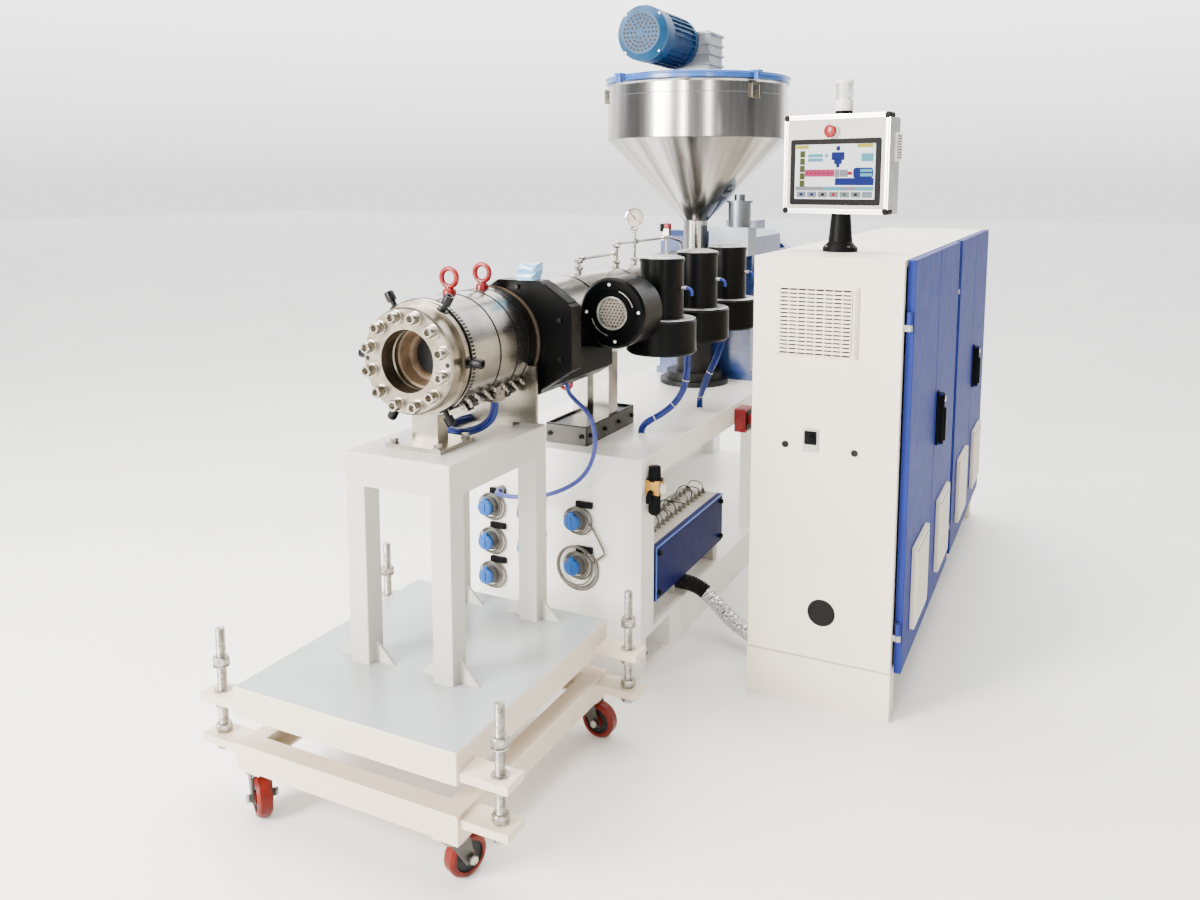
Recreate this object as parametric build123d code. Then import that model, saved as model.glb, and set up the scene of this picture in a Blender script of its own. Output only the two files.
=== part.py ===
"""Twin-screw plastic extruder with its die trolley and control cabinet.

Millimetres, +Z up. The origin lies on the floor at the centre of the four anchor
holes of the machine base. +Y runs along the barrel from the die to the drive, and
+X points from the barrel to the control cabinet.
"""
from build123d import *
import math
import os

# Drive line and overall layout
AXIS_HEIGHT = 1122.0        # barrel axis above the floor
RUN_GAP = 0.3               # running gap of a seated moving piece
DOOR_GAP = 5.0              # clear gap round a swinging door

# Machine base
BASE_LENGTH = 2250.0
BASE_WIDTH = 600.0
BARREL_RISE = 407.0         # barrel axis above the top of the base
SOLE_HEIGHT = 140.0
SOLE_PLATE = 16.0
POCKET_LENGTH = 200.0
POCKET_DEPTH = 130.0
POCKET_END = 40.0
ANCHOR_DIA = 22.0
ANCHOR_SIDE = 60.0          # anchor hole from the side of the sole
TOP_PLATE = 20.0
POST_LENGTH = 100.0
POST_WIDTH = 60.0
RAIL_HEIGHT = 60.0
PANEL = 4.0
BAY_LENGTH = 1040.0         # open bay behind the front posts

# Sockets, junction box, regulator and stop switch on the base
SOCKET_DIA = 60.0
SOCKET_DEPTH = 46.0
SOCKET_COLUMNS = (-245.0, -95.0, 78.0)
SOCKET_DROP = 218.0         # upper sockets below the top of the base
SOCKET_PITCHES = (118.0, 118.0, 148.0)
SOCKET_COUNTS = (3, 2, 2)
SOCKET_FLANGE = 8.0
SOCKET_BODY = 48.0
GLAND_DIA = 30.0
GLAND_LENGTH = 14.0
JUNCTION_LENGTH = 640.0
JUNCTION_HEIGHT = 180.0
JUNCTION_DEPTH = 150.0
JUNCTION_COVER = 20.0
JUNCTION_FEET = 75.0        # feet of the terminal box above the sole
JUNCTION_FOOT = 40.0
JUNCTION_START = 15.0       # box end behind the front post
CONDUIT_BOSS = 62.0
REGULATOR_SIZE = 46.0
REGULATOR_DROP = 92.0       # regulator centre below the top of the base
REGULATOR_KNOB = 38.0
REGULATOR_BOWL = 60.0
SWITCH_WIDTH = 90.0
SWITCH_DEPTH = 45.0
SWITCH_Y = 880.0
BUTTON_DIA = 40.0
BUTTON_DEPTH = 22.0

# Barrel, jackets, hood and supports
BARREL_DIA = 170.0
JACKET_DIA = 296.0
JACKET_GAP = 14.0
ZONES = 4
BARREL_FLANGE_DIA = 260.0
BARREL_FLANGE = 30.0
THROAT_Y = 1225.0           # hopper axis from the front of the base
FEED_BLOCK = 300.0
FEED_BLOCK_LENGTH = 236.0
FEED_TOP = 143.0            # top of the feed block above the barrel axis
HOOD_FRONT = 362.0          # hood face in front of the base
HOOD_DEPTH = 55.0
HOOD_SHEET = 4.0
HOOD_TOP = 172.0            # hood top above the barrel axis
HOOD_BOTTOM = 165.0         # hood bottom below the barrel axis
HOOD_LEFT = 150.0
HOOD_RIGHT = 251.0
HOOD_RIDGE = (18.0, 150.0)  # ends of the flat top
HOOD_SOLE = (90.0, 105.0)   # ends of the flat bottom, left and right
HOOD_LEFT_DROPS = (109.0, 53.0)
HOOD_RIGHT_DROPS = (67.0, 95.0)
SHROUD_LENGTH = 410.0
SHROUD_HALF = 150.0
SHROUD_SOLE = 105.0
SHROUD_RISE = 30.0
SHROUD_TOP = 45.0           # shroud edge below the barrel axis
COLUMN_WIDTH = 136.0
COLUMN_DEPTH = 70.0
COLUMN_Y = 280.0
COLUMN_GROOVE = 26.0
COLUMN_GROOVE_DEPTH = 24.0
COLUMN_SEAT = 100.0         # column top below the barrel axis, before the saddle cut
SLIDE_HEIGHT = 65.0
SLIDE_LENGTH = 366.0
SLIDE_WIDTH = 150.0
SLIDE_AHEAD = 212.0         # slide in front of the column's middle
SLIDE_RIM = 6.0
SLIDE_RECESS = 8.0
PEDESTAL_DIA = 290.0
PEDESTAL_BASE = 20.0
PEDESTAL_RING_DIA = 235.0
PEDESTAL_RING = 34.0
PEDESTAL_COLUMN = 150.0

# Cooling blowers
SCROLL_DIA = 220.0
SCROLL_THICK = 110.0
CAN_DIA = 138.0
CAN_HEIGHT = 190.0
BLOWER_X = 300.0
BLOWER_PITCH = 310.0
BLOWER_Y = 150.0            # first upright blower from the front of the base
BLOWER_BELOW = 92.0         # scroll underside below the barrel axis
FRONT_BLOWER_Y = -135.0
FRONT_BLOWER_X = 262.0
FRONT_BLOWER_UP = 62.0
FRONT_SCROLL_DIA = 210.0
FRONT_SCROLL_THICK = 137.0
SCROLL_EDGE = 7.0
SCROLL_LIP = 5.0
LID_RIM = 3.0
LID_HEIGHT = 12.0
INTAKE_DIA = 88.0
INTAKE_DEPTH = 20.0
BLOWER_MOTOR_DIA = 128.0
BLOWER_MOTOR_LENGTH = 62.0
OUTLET_WIDTH = 90.0
OUTLET_MARGIN = 15.0

# Oil pipes on top of the barrel, stations from the front of the base
PIPE_DIA = 10.0
RISER_DIA = 13.0
PIPE_BEND = 22.0
FITTING_DIA = 20.0
SENSOR_Y = 160.0
SENSOR_HEIGHT = 44.0        # above the jackets
RISER_Y = 447.0
RISER_HEIGHT = 78.0
GAUGE_Y = 600.0
GAUGE_HEIGHT = 166.0
GAUGE_DIA = 63.0
GAUGE_DEPTH = 30.0
GAUGE_TURN = 22.0
VALVE_Y = 908.0
VALVE_HEIGHT = 100.0
VALVE_SIZE = 26.0
PIPE_END_Y = 1080.0

# Hopper and its agitator drive
HOPPER_DIA = 740.0
FLANGE_OUT = 24.0           # throat flange beyond the throat tube
FLANGE_PLATE = 10.0
HOPPER_WALL = 4.0
RIM_UP = 856.0              # hopper rim above the barrel axis
CYLINDER_HEIGHT = 240.0
CONE_HEIGHT = 333.0
THROAT_DIA = 104.0
BEAD_DIA = 14.0
BRACKET_ANGLES = (-33.0, -153.0, 87.0)
BRACKET_SIZE = 40.0
BRACKET_THICK = 12.0
BRACKET_DROP = 45.0         # bracket middle below the rim
LID_THICK = 6.0
LID_LIP = 16.0
LID_OVER = 7.0              # lid beyond the hopper wall
AGITATOR_MOTOR_DIA = 205.0
AGITATOR_MOTOR_LENGTH = 345.0
AGITATOR_MOTOR_X = -68.0
AGITATOR_MOTOR_UP = 0.76    # share of the gearbox height at the motor's axis
COWL_LENGTH = 95.0
FIN_COUNT = 28
FIN_DEPTH = 9.0
FIN_THICK = 4.0
AGITATOR_BOX = 170.0
AGITATOR_FLANGE = 12.0
RIB_COUNT = 5
RIB_OUT = 7.0
RIB_THICK = 9.0
SIDE_CYLINDER_DIA = 92.0
SIDE_CYLINDER_X = 192.0
SIDE_DUCT_HEIGHT = 116.0
SIDE_DUCT_WIDTH = 110.0
SIDE_DUCT_GAP = 4.0         # duct from the throat flange
SIDE_CYLINDER_HEIGHT = 100.0
SIDE_FLANGE = 8.0
ELBOW_DIA = 44.0
ELBOW_HEIGHT = 34.0

# Main gearbox and motor
GEARBOX_LENGTH = 420.0
GEARBOX_WIDTH = 420.0
GEARBOX_HEIGHT = 640.0
GEARBOX_SPLIT = 24.0
GEARBOX_FLANGE_OUT = 16.0
GEARBOX_CAP_DIA = 250.0
GEARBOX_CAP = 22.0
GEARBOX_FOOT = 30.0
MOTOR_DIA = 380.0
MOTOR_LENGTH = 430.0
MOTOR_FINS = 36
MOTOR_FIN_DEPTH = 16.0
MOTOR_COWL = 110.0
MOTOR_FLANGE = 24.0
MOTOR_FOOT_WIDTH = 300.0
MOTOR_FOOT_ENDS = (60.0, 40.0)
TERMINAL_BOX = (150.0, 140.0, 90.0)

# Die head
DIE_REACH = 760.0           # flange face in front of the base
FLANGE_DIA = 272.0
FLANGE_THICK = 45.0
FLANGE_CHAMFER = 5.0
COLLAR_DIA = 292.0
COLLAR_THICK = 17.0
DIE_BORE = 160.0
DIE_BORE_DEPTH = 110.0
DIE_STEP_DIA = 130.0
DIE_STEP_DEPTH = 60.0
DIE_THROAT_DIA = 95.0
DIE_BACK_WALL = 40.0
DIE_CORE_DIA = 270.0
BAND_DIA = 300.0
BAND_START = 65.0           # first heater band behind the flange face
BAND_LENGTHS = (133.0, 87.0, 56.0, 57.0)    # in proportion, over the rest of the die
BAND_GAP = 3.0
CLAMP_ANGLE = -52.0         # band clamps round the axis, from +X
CLAMP_EAR = (20.0, 9.0, 30.0)
CLAMP_OPEN = 12.0
EARED_BANDS = (0, 2)        # bands whose clamp ears show
TERMINAL_X = 100.0          # lead outlet under the second band
TERMINAL_SIZE = 40.0
TERMINAL_DROP = 137.0       # its underside below the axis
EYE_SHARES = (0.47, 0.864)  # lifting eyes along the die
EYE_RING = 47.0
EYE_BAR = 14.0
EYE_COLLAR = 36.0
EYE_COLLAR_HEIGHT = 15.0

# Die table and its two supports
TABLE_WIDTH = 320.0
TABLE_LENGTH = 470.0
TABLE_DROP = 232.0          # table top below the barrel axis
TABLE_BEAM = 85.0
TABLE_LEG = 60.0
TABLE_AHEAD = 55.0          # table front ahead of the flange face
TABLE_EDGE = 4.0
GUSSET = 60.0
GUSSET_THICK = 8.0
SUPPORT_PLATE = 12.0
SUPPORT_WIDTH = 170.0
SUPPORT_LENGTH = 150.0
POST_SIZE = (80.0, 46.0)
POST_BACK = 22.0            # support post behind the flange
SADDLE_FOOT = 38.0
SADDLE_BACK = 40.0          # saddle from the rear of the die
SADDLE_TOP = 60.0           # saddle top below the axis

# Trolley
TROLLEY_WIDTH = 660.0
TROLLEY_LENGTH = 750.0
TROLLEY_AHEAD = 290.0       # trolley front ahead of the flange face
FRAME_HEIGHT = 66.0
FRAME_CHANNEL = 50.0
FRAME_WALL = 7.0
PLATFORM_BOTTOM = 254.0
PLATFORM_TOP = 331.0
PLATFORM_SHEET = 8.0
PLATFORM_EDGE = 4.0
JACK_OUT = 124.0
JACK_REACH = 85.0           # jack screw from the trolley's side
JACK_PLATE_LENGTH = 70.0
JACK_PLATE_INSET = 8.0
JACK_PLATE = 20.0
JACK_DIA = 24.0
JACK_TOP = 448.0
JACK_LOWER = 152.0          # underside of the lower jack plates
JACK_UPPER = 262.0          # underside of the upper jack plates
NUT_FLATS = 36.0
NUT_HEIGHT = 22.0
LOCK_NUT_UP = 68.0

# Casters
WHEEL_DIA = 100.0
WHEEL_WIDTH = 36.0
CASTER_HEIGHT = 116.0
CASTER_PLATE = 5.0
CASTER_SIZE = 72.0
CASTER_INSET = 36.0
CASTER_TRAIL = 30.0
CROWN_DIA = 60.0
CROWN_THICK = 4.0
FORK_SHEET = 4.0
FORK_CLEARANCE = 3.0
FORK_TOP_WIDTH = 52.0
FORK_FOOT_WIDTH = 26.0
AXLE_DIA = 14.0
AXLE_NUT = 20.0
AXLE_NUT_THICK = 7.0
HUB_OUT = 1.5
HUB_WALL = 9.0
TREAD_DEPTH = 14.0
TREAD_CHAMFER = 6.0
WEB_RECESS = 6.0
CASTER_TURNS = {"front_right": 159.0, "front_left": 56.0, "rear_right": 87.0, "rear_left": 60.0}

# Control cabinet
CABINET_X = 619.0
CABINET_WIDTH = 430.0       # body without doors
CABINET_FRONT = 90.0        # cabinet front behind the front of the base
CABINET_LENGTH = 2080.0
CABINET_HEIGHT = 1350.0
CABINET_SHEET = 20.0        # folded panel thickness
FOOT_HEIGHT = 146.0
FOOT_LENGTH = 66.0
DOOR_THICK = 21.0
DOOR_MARGIN = 24.0
CENTRE_POST = 100.0
HINGE_DIA = 16.0
HINGE_PIN = 10.0
HINGE_KNUCKLE = 36.0
HINGE_EDGE = 10.0           # hinge axis beyond the door's edge
HINGE_LOW = 120.0           # lower hinge above the door's foot
HINGE_HIGH = 180.0          # upper hinge below the door's top
HINGE_FOOT = 18.0
HINGE_WEB = 8.0
POST_PLAY = 2.0
VENT_SIZE = 250.0
VENT_DEPTH = 14.0
VENT_BOTTOM = 90.0
HANDLE_LENGTH = 172.0
HANDLE_WIDTH = 32.0
HANDLE_DEPTH = 24.0
HANDLE_UP = 560.0
HANDLE_SIDE = 30.0
EDGE_EASE = 3.0
GRILLE_WIDTH = 238.0
GRILLE_TALL = 206.0
GRILLE_DEPTH = 16.0
GRILLE_X = 188.0            # grille centre from the cabinet's left side
GRILLE_DROP = 184.0         # grille centre below the cabinet's top
CONDUIT_END = 85.0          # conduit socket under the floor, from the left side
SOCKET_BLOCK = (60.0, 90.0)
SOCKET_BLOCK_FOOT = 30.0

# Operator panel on the cabinet roof
PANEL_BOX_WIDTH = 344.0
PANEL_BOX_HEIGHT = 300.0
PANEL_BOX_DEPTH = 110.0
PANEL_FRAME_DEPTH = 34.0
PANEL_FRAME_EDGE = 12.0
PANEL_CORNER = 14.0
PANEL_TURN = -12.0          # panel turned to the operator at rest
SCREEN_SIZE = (284.0, 190.0)
SCREEN_RECESS = 3.0
SCREEN_DROP = 24.0          # screen centre below the panel's middle
PANEL_X = 182.0             # panel post from the cabinet's left side
PANEL_POST_HEIGHT = 118.0
PANEL_POST_BASE = 107.0
PANEL_POST_FLANGE = 12.0
PANEL_POST_SHOULDER = 30.0
PANEL_POST_TOP = 74.0
PANEL_POST_TAPER = 8.0
PANEL_Y = 386.0
BEACON_DIA = 52.0
BEACON_BASE = 22.0
BEACON_CAP = 8.0
BEACON_HEIGHT = 120.0

# Free leads: diameters and the points of their routes, each from a place that is named with it
CONDUIT_DIA = 50.0
CONDUIT_Y = 398.0           # conduit start behind the front of the base
CONDUIT_Z = 178.0
CONDUIT_LAND = (297.0, 64.0)
HOOD_LEAD_DIA = 14.0
BLOWER_LEAD_DIA = 18.0
HEATER_LEAD_DIA = 16.0
SCROLL_FOOT = BARREL_RISE - BLOWER_BELOW
# From the front of the base and the floor
CONDUIT = [(262, CONDUIT_Y, CONDUIT_Z), (312, CONDUIT_Y, CONDUIT_Z), (360, 398, 161), (404, 395, 128),
           (448, 385, 95), (496, 367, 73), (548, 339, 65), (600, 311, 64), (652, *CONDUIT_LAND),
           (704, *CONDUIT_LAND)]
# From the front and the top of the base
HOOD_LEAD = [(75, -65, 242), (75, -65, 210), (102, -64, 182), (138, -63, 157), (163, -62, 119),
             (172, -61, 70), (168, -61, 20), (150, -60, -28), (118, -60, -69), (74, -60, -101),
             (22, -60, -127), (-36, -61, -146), (-96, -61, -156), (-146, -61, -160), (-186, -55, -162),
             (-205, -38, -162), (-205, -14, -162)]
BLOWER_LEAD_1 = [(303, 375, SCROLL_FOOT), (303, 375, SCROLL_FOOT - 42), (299, 383, 209),
                 (284, 388, 145), (250, 383, 91), (212, 357, 58), (180, 330, 39), (160, 313, 23),
                 (160, 313, 0)]
BLOWER_LEAD_2 = [(305, 723, SCROLL_FOOT), (305, 723, SCROLL_FOOT - 42), (292, 699, 213),
                 (266, 677, 145), (236, 693, 85), (212, 733, 49), (198, 769, 31), (198, 769, 0)]
# From the flange face and the table top
HEATER_LEAD = [(100, 242, 95), (100, 242, 62), (86, 231, 35), (60, 213, 17), (24, 199, 10),
               (-18, 202, 9), (-50, 228, 9), (-63, 271, 9), (-58, 315, 9), (-58, 358, 9)]

# Derived places
base_front = -BASE_LENGTH / 2
base_height = AXIS_HEIGHT - BARREL_RISE
die_front = base_front - DIE_REACH
trolley_front = die_front - TROLLEY_AHEAD
trolley_back = trolley_front + TROLLEY_LENGTH
die_length = DIE_REACH - HOOD_FRONT
hood_front = base_front - HOOD_FRONT
jacket_top = AXIS_HEIGHT + JACKET_DIA / 2
feed_top = AXIS_HEIGHT + FEED_TOP
rim_height = AXIS_HEIGHT + RIM_UP
table_height = AXIS_HEIGHT - TABLE_DROP
lid_top = rim_height + LID_THICK
junction_bottom = SOLE_HEIGHT + JUNCTION_FEET
panel_x = CABINET_X + PANEL_X
panel_y = base_front + PANEL_Y
panel_bottom = CABINET_HEIGHT + PANEL_POST_HEIGHT + RUN_GAP
cabinet_front = base_front + CABINET_FRONT
cabinet_back = cabinet_front + CABINET_LENGTH
cabinet_right = CABINET_X + CABINET_WIDTH
throat_y = base_front + THROAT_Y
frame_bottom = CASTER_HEIGHT
frame_top = frame_bottom + FRAME_HEIGHT


def block(x0, x1, y0, y1, z0, z1):
    """Upright box between the given limits."""
    return Pos((x0 + x1) / 2, (y0 + y1) / 2, (z0 + z1) / 2) * Box(x1 - x0, y1 - y0, z1 - z0)


def upright(x, y, z0, z1, dia):
    """Vertical cylinder between two heights."""
    return Pos(x, y, (z0 + z1) / 2) * Cylinder(dia / 2, z1 - z0)


def along_y(x, z, y0, y1, dia):
    """Cylinder along Y between two stations."""
    return Pos(x, (y0 + y1) / 2, z) * Rot(90, 0, 0) * Cylinder(dia / 2, y1 - y0)


def along_x(y, z, x0, x1, dia):
    """Cylinder along X between two stations."""
    return Pos((x0 + x1) / 2, y, z) * Rot(0, 90, 0) * Cylinder(dia / 2, x1 - x0)


def profile_y(points, y0, y1):
    """Prism whose outline is given in X and Z, drawn along Y."""
    outline = make_face(Polyline(*[(x, 0, z) for x, z in points], close=True))
    return Pos(0, y0, 0) * extrude(outline, amount=y1 - y0, dir=(0, 1, 0))


def plan_prism(points, z0, z1):
    """Prism whose outline is given in X and Y, drawn upwards."""
    outline = make_face(Polyline(*points, close=True))
    return Pos(0, 0, z0) * extrude(outline, amount=z1 - z0)


def lathe_z(points):
    """Solid turned about Z from an outline in radius and height."""
    return revolve(Plane.XZ * make_face(Polyline(*points, close=True)), Axis.Z)


def lathe_y(points):
    """Solid turned about Y from an outline in radius and station."""
    return revolve(make_face(Polyline(*points, close=True)), Axis.Y)


def barrel_clear(y0, y1):
    """Room taken by the barrel jackets between two stations, with the running gap."""
    return along_y(0, AXIS_HEIGHT, y0, y1, JACKET_DIA + 2 * RUN_GAP)


def corners():
    """Signs and names of the four trolley corners."""
    return (("front_right", 1, -1), ("front_left", -1, -1), ("rear_right", 1, 1), ("rear_left", -1, 1))


def trolley_y(sign, inset):
    """Station at a distance inside the front or rear edge of the trolley."""
    return trolley_front + inset if sign < 0 else trolley_back - inset


def frame_ring():
    """Channel frame of the trolley with its webs outwards, before it is split at the mitres."""
    half = TROLLEY_WIDTH / 2
    ring = block(-half, half, trolley_front, trolley_back, frame_bottom, frame_top)
    for inset, low, high in ((FRAME_CHANNEL, frame_bottom, frame_top),
                             (FRAME_WALL, frame_bottom + FRAME_WALL, frame_top - FRAME_WALL)):
        ring -= block(-half + inset, half - inset, trolley_front + inset, trolley_back - inset, low, high)
    return ring


def jack_plate(sx, sy, bottom):
    """Plate that stands out from the trolley's side and takes a jack screw."""
    side = sx * TROLLEY_WIDTH / 2
    x0, x1 = sorted((side, side + sx * JACK_OUT))
    y0, y1 = sorted((trolley_y(sy, JACK_PLATE_INSET), trolley_y(sy, JACK_PLATE_INSET + JACK_PLATE_LENGTH)))
    plate = block(x0, x1, y0, y1, bottom, bottom + JACK_PLATE)
    x, y = jack_place(sx, sy)
    return plate - upright(x, y, bottom, bottom + JACK_PLATE, JACK_DIA + 2 * RUN_GAP)


def jack_place(sx, sy):
    """Centre of a jack screw."""
    return sx * (TROLLEY_WIDTH / 2 + JACK_REACH), trolley_y(sy, JACK_PLATE_INSET + JACK_PLATE_LENGTH / 2)


def caster_place(sx, sy):
    """Swivel axis of a caster."""
    return sx * (TROLLEY_WIDTH / 2 - CASTER_INSET), trolley_y(sy, CASTER_INSET)


def trolley_side_beams():
    """Two mitred channels along the trolley with the lower jack plates and the caster plates."""
    beams = []
    half = TROLLEY_WIDTH / 2
    inner = half - FRAME_CHANNEL
    for sx in (1, -1):
        mitre = plan_prism([(sx * half, trolley_front), (sx * half, trolley_back),
                            (sx * inner, trolley_back - FRAME_CHANNEL),
                            (sx * inner, trolley_front + FRAME_CHANNEL)], frame_bottom, frame_top)
        beam = frame_ring() & mitre
        for sy in (-1, 1):
            beam = beam + jack_plate(sx, sy, JACK_LOWER) + caster_plate(sx, sy)
        beams.append(beam)
    return Compound(children=beams)


def trolley_end_beams():
    """Two mitred channels across the trolley."""
    beams = []
    half = TROLLEY_WIDTH / 2
    inner = half - FRAME_CHANNEL
    for sy in (-1, 1):
        edge = trolley_y(sy, 0)
        inside = trolley_y(sy, FRAME_CHANNEL)
        corners = [(-half, edge), (half, edge), (inner, inside), (-inner, inside)]
        mitre = plan_prism(corners, frame_bottom, frame_top)
        beams.append(frame_ring() & mitre)
    return Compound(children=beams)


def platform():
    """Tray-shaped platform with eased top edges and the upper jack plates."""
    half = TROLLEY_WIDTH / 2
    tray = block(-half, half, trolley_front, trolley_back, PLATFORM_BOTTOM, PLATFORM_TOP)
    tray = fillet(tray.edges().group_by(Axis.Z)[-1] + tray.edges().filter_by(Axis.Z), PLATFORM_EDGE)
    tray -= block(-half + PLATFORM_SHEET, half - PLATFORM_SHEET, trolley_front + PLATFORM_SHEET,
                  trolley_back - PLATFORM_SHEET, PLATFORM_BOTTOM, PLATFORM_TOP - PLATFORM_SHEET)
    for _, sx, sy in corners():
        tray += jack_plate(sx, sy, JACK_UPPER)
    return tray


def hex_nut(x, y, bottom):
    """Hexagon nut on a jack screw."""
    outline = RegularPolygon(NUT_FLATS / 2, 6, major_radius=False)
    return Pos(x, y, bottom) * extrude(outline, amount=NUT_HEIGHT)


def jack_screws():
    """Threaded rods with the nuts that carry and lock the platform."""
    screws = []
    for _, sx, sy in corners():
        x, y = jack_place(sx, sy)
        rod = upright(x, y, JACK_LOWER - NUT_HEIGHT, JACK_TOP, JACK_DIA)
        for bottom in (JACK_LOWER - NUT_HEIGHT, JACK_LOWER + JACK_PLATE, JACK_UPPER - NUT_HEIGHT,
                       JACK_UPPER + JACK_PLATE + LOCK_NUT_UP):
            rod += hex_nut(x, y, bottom)
        screws.append(rod)
    return Compound(children=screws)


def caster_plate(sx, sy):
    """Top plate of a caster, under a trolley corner."""
    x, y = caster_place(sx, sy)
    half = CASTER_SIZE / 2
    return block(x - half, x + half, y - half, y + half, frame_bottom - CASTER_PLATE, frame_bottom)


def caster_turn(name, sx, sy):
    """Placement of a caster at its rest angle, with its trail along local -Y."""
    x, y = caster_place(sx, sy)
    return Pos(x, y, 0) * Rot(0, 0, CASTER_TURNS[name])


def caster_fork(name, sx, sy):
    """Pressed fork with a flat crown, two tapered cheeks and the axle bolt."""
    top = frame_bottom - CASTER_PLATE - RUN_GAP
    low = top - CROWN_THICK
    wheel_z = WHEEL_DIA / 2
    half = WHEEL_WIDTH / 2 + FORK_CLEARANCE
    wide = FORK_TOP_WIDTH / 2
    narrow = FORK_FOOT_WIDTH / 2
    outer = half + FORK_SHEET
    fork = upright(0, 0, low, top, CROWN_DIA) + block(-outer, outer, -wide, wide, low, top)
    for side in (-1, 1):
        tip = wheel_z - narrow
        outline = make_face(Polyline((0, -wide, low), (0, wide, low), (0, narrow - CASTER_TRAIL, tip),
                                     (0, -narrow - CASTER_TRAIL, tip), close=True))
        fork += Pos(side * half, 0, 0) * extrude(outline, amount=FORK_SHEET, dir=(side, 0, 0))
        x0, x1 = sorted((side * outer, side * (outer + AXLE_NUT_THICK)))
        fork += along_x(-CASTER_TRAIL, wheel_z, x0, x1, AXLE_NUT)
    fork += along_x(-CASTER_TRAIL, wheel_z, -outer, outer, AXLE_DIA)
    return caster_turn(name, sx, sy) * fork


def caster_wheel(name, sx, sy):
    """Wheel with a chamfered tread and a recessed web, bored for the axle."""
    radius = WHEEL_DIA / 2
    half = WHEEL_WIDTH / 2
    bore = AXLE_DIA / 2 + RUN_GAP
    web = half - WEB_RECESS
    right = [(half + HUB_OUT, bore), (half + HUB_OUT, bore + HUB_WALL), (web, bore + HUB_WALL),
             (web, radius - TREAD_DEPTH), (half, radius - TREAD_DEPTH), (half, radius - TREAD_CHAMFER),
             (half - TREAD_CHAMFER, radius)]
    left = [(-x, r) for x, r in reversed(right)]
    wheel = revolve(make_face(Polyline(*right, *left, close=True)), Axis.X)
    return caster_turn(name, sx, sy) * Pos(0, -CASTER_TRAIL, radius) * wheel


def table_legs():
    """Four square legs with triangular gussets on the platform."""
    legs = []
    half = TABLE_WIDTH / 2
    front = die_front - TABLE_AHEAD
    top = table_height - TABLE_BEAM
    for x0 in (-half, half - TABLE_LEG):
        for y0 in (front, front + TABLE_LENGTH - TABLE_LEG):
            leg = block(x0, x0 + TABLE_LEG, y0, y0 + TABLE_LEG, PLATFORM_TOP, top)
            leg = fillet(leg.edges().filter_by(Axis.Z), TABLE_EDGE)
            middle = y0 + TABLE_LEG / 2
            for side, foot in ((-1, x0), (1, x0 + TABLE_LEG)):
                outline = [(foot, PLATFORM_TOP), (foot + side * GUSSET, PLATFORM_TOP),
                           (foot, PLATFORM_TOP + GUSSET)]
                leg += profile_y(outline, middle - GUSSET_THICK / 2, middle + GUSSET_THICK / 2)
            legs.append(leg)
    return Compound(children=legs)


def table_top():
    """Table top with deep edge beams, open underneath."""
    half = TABLE_WIDTH / 2
    front = die_front - TABLE_AHEAD
    bottom = table_height - TABLE_BEAM
    top = block(-half, half, front, front + TABLE_LENGTH, bottom, table_height)
    top = fillet(top.edges().group_by(Axis.Z)[-1] + top.edges().filter_by(Axis.Z), TABLE_EDGE)
    back = front + TABLE_LENGTH
    return top - block(-half + TABLE_LEG, half - TABLE_LEG, front + TABLE_LEG, back - TABLE_LEG,
                       bottom, table_height - SUPPORT_PLATE)


def saddle_y():
    """Front face of the rear die support."""
    return die_front + die_length - SADDLE_BACK


def die_supports():
    """Front post with a foot plate and rear saddle plate, both on the table."""
    foot = table_height + SUPPORT_PLATE
    post_x, post_depth = POST_SIZE
    y0 = die_front + FLANGE_THICK + POST_BACK
    middle = y0 + post_depth / 2
    half = SUPPORT_WIDTH / 2
    seat = BAND_DIA / 2 + RUN_GAP
    post = block(-half, half, middle - SUPPORT_LENGTH / 2, middle + SUPPORT_LENGTH / 2, table_height, foot)
    post += block(-post_x / 2, post_x / 2, y0, y0 + post_depth, foot, AXIS_HEIGHT)
    post -= along_y(0, AXIS_HEIGHT, y0, y0 + post_depth, 2 * seat)
    y1 = saddle_y()
    saddle = block(-half, half, y1, y1 + SADDLE_FOOT, table_height, foot)
    saddle += block(-TABLE_WIDTH / 2, TABLE_WIDTH / 2, y1, y1 + SUPPORT_PLATE,
                    foot, AXIS_HEIGHT - SADDLE_TOP)
    saddle -= along_y(0, AXIS_HEIGHT, y1, y1 + SUPPORT_PLATE, 2 * seat)
    return Compound(children=[post.solids().sort_by(Axis.Z)[0], saddle])


def die_body():
    """Steel core of the die head with its collar and stepped bore."""
    start = die_front + FLANGE_THICK
    end = die_front + die_length
    core = along_y(0, AXIS_HEIGHT, start, end, DIE_CORE_DIA)
    core += along_y(0, AXIS_HEIGHT, start, start + COLLAR_THICK, COLLAR_DIA)
    bore_end = die_front + DIE_BORE_DEPTH
    step_end = bore_end + DIE_STEP_DEPTH
    core -= along_y(0, AXIS_HEIGHT, die_front, bore_end, DIE_BORE)
    core -= along_y(0, AXIS_HEIGHT, bore_end, step_end, DIE_STEP_DIA)
    core -= along_y(0, AXIS_HEIGHT, step_end, end - DIE_BACK_WALL, DIE_THROAT_DIA)
    return core


def die_flange():
    """Front retaining ring with a chamfered rim."""
    inner = DIE_BORE / 2
    outer = FLANGE_DIA / 2
    ring = lathe_y([(inner, 0), (outer - FLANGE_CHAMFER, 0), (outer, FLANGE_CHAMFER), (outer, FLANGE_THICK),
                    (inner, FLANGE_THICK)])
    return Pos(0, die_front, AXIS_HEIGHT) * ring


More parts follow.
